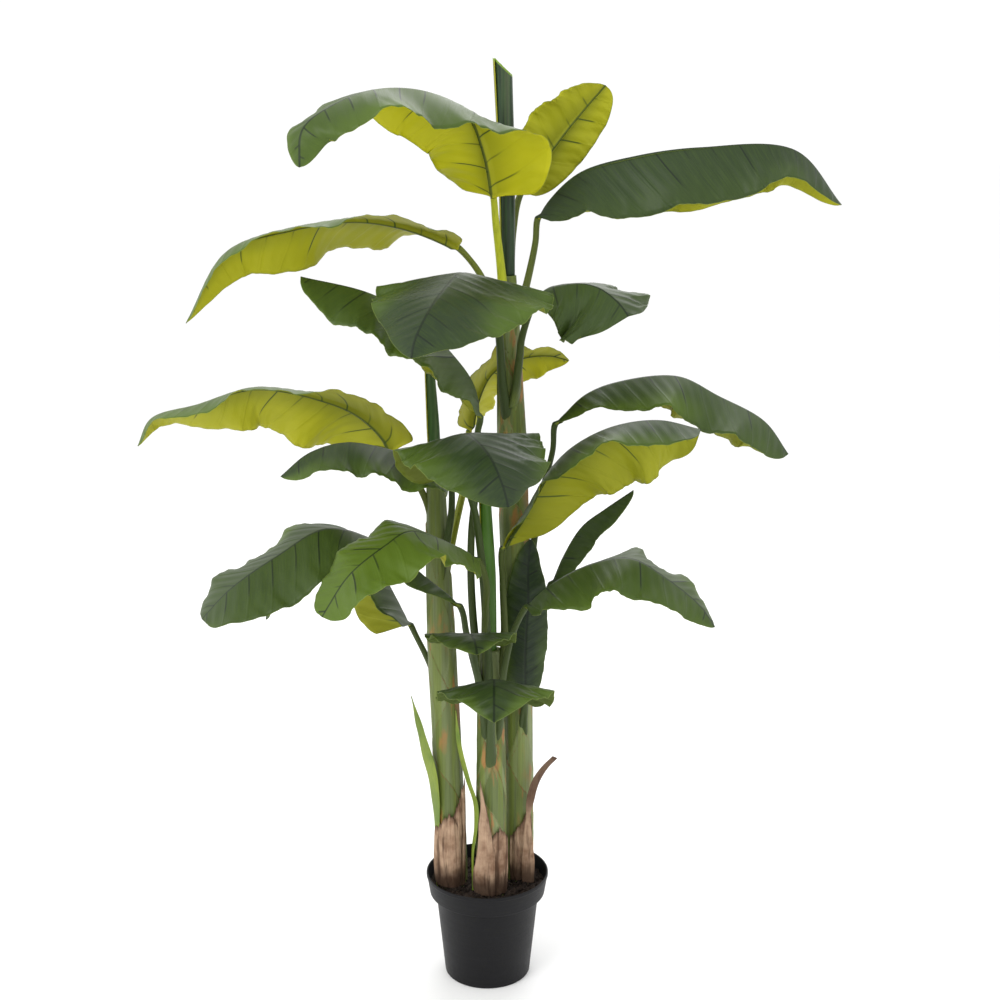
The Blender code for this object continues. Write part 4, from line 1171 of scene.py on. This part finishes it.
class BANANA_OT_stage(bpy.types.Operator):
    """Make the floor, the soft studio light and the camera"""

    bl_idname = "banana.stage"
    bl_label = "Stage"

    def execute(self, context):
        mesh = bpy.data.meshes.new("floor")
        mesh.from_pydata(floor_points().tolist(), [], [(0, 1, 3, 2)])
        mesh.materials.append(floor_finish())
        floor = bpy.data.objects.new("floor", mesh)
        context.scene.collection.objects.link(floor)
        self.light("key", (-2.6, -3.0, 3.6), 2.4, 90.0)
        self.light("fill", (3.2, -2.6, 1.8), 2.4, 14.0)
        self.light("back", (0.6, 3.0, 3.4), 3.0, 60.0)
        world = bpy.data.worlds.new("studio")
        world.use_nodes = True
        world.node_tree.nodes["Background"].inputs["Color"].default_value = (1.0, 1.0, 1.0, 1.0)
        world.node_tree.nodes["Background"].inputs["Strength"].default_value = 1.05
        context.scene.world = world
        context.scene.view_settings.view_transform = "Standard"
        camera_data = bpy.data.cameras.new("camera")
        camera_data.lens = 57.6
        camera_data.sensor_width = 36.0
        camera = bpy.data.objects.new("camera", camera_data)
        camera.location = (0.0256, -2.955, 1.724)
        camera.rotation_euler = (math.radians(76.0), 0.0, 0.0)
        context.scene.collection.objects.link(camera)
        context.scene.camera = camera
        return {"FINISHED"}

    def light(self, name, place, size, power):
        """A square area light that looks at the middle of the plant."""
        data = bpy.data.lights.new(name, "AREA")
        data.size = size
        data.energy = power
        made = bpy.data.objects.new(name, data)
        made.location = place
        towards = np.array([0.0, 0.0, 0.9]) - np.array(place)
        level = math.hypot(towards[0], towards[1])
        made.rotation_euler = (math.atan2(level, -towards[2]), 0.0, math.atan2(-towards[0], towards[1]))
        bpy.context.scene.collection.objects.link(made)


OPERATORS = (BANANA_OT_pot, BANANA_OT_soil, BANANA_OT_stems, BANANA_OT_rolled_leaves, BANANA_OT_leaves,
             BANANA_OT_sprouts, BANANA_OT_husks, BANANA_OT_stage)


class BANANA_PT_plant(bpy.types.Panel):
    """Lists the sizes, the colours and the pieces of the plant"""

    bl_idname = "BANANA_PT_plant"
    bl_label = "Potted banana plant"
    bl_space_type = "VIEW_3D"
    bl_region_type = "UI"
    bl_category = "Banana plant"

    def draw(self, context):
        for group in (context.scene.banana_plant_sizes, context.scene.banana_plant_colours):
            box = self.layout.box()
            for key in group.__annotations__:
                box.prop(group, key)
        for operator in OPERATORS:
            self.layout.operator(operator.bl_idname)


CLASSES = (BananaPlantSizes, BananaPlantColours, *OPERATORS, BANANA_PT_plant)


def register():
    for one in CLASSES:
        bpy.utils.register_class(one)
    bpy.types.Scene.banana_plant_sizes = PointerProperty(type=BananaPlantSizes)
    bpy.types.Scene.banana_plant_colours = PointerProperty(type=BananaPlantColours)


def unregister():
    del bpy.types.Scene.banana_plant_colours
    del bpy.types.Scene.banana_plant_sizes
    for one in reversed(CLASSES):
        bpy.utils.unregister_class(one)


def main():
    """Build every piece."""
    register()
    for operator in OPERATORS:
        group, name = operator.bl_idname.split(".")
        getattr(getattr(bpy.ops, group), name)()


if __name__ == "__main__":
    main()
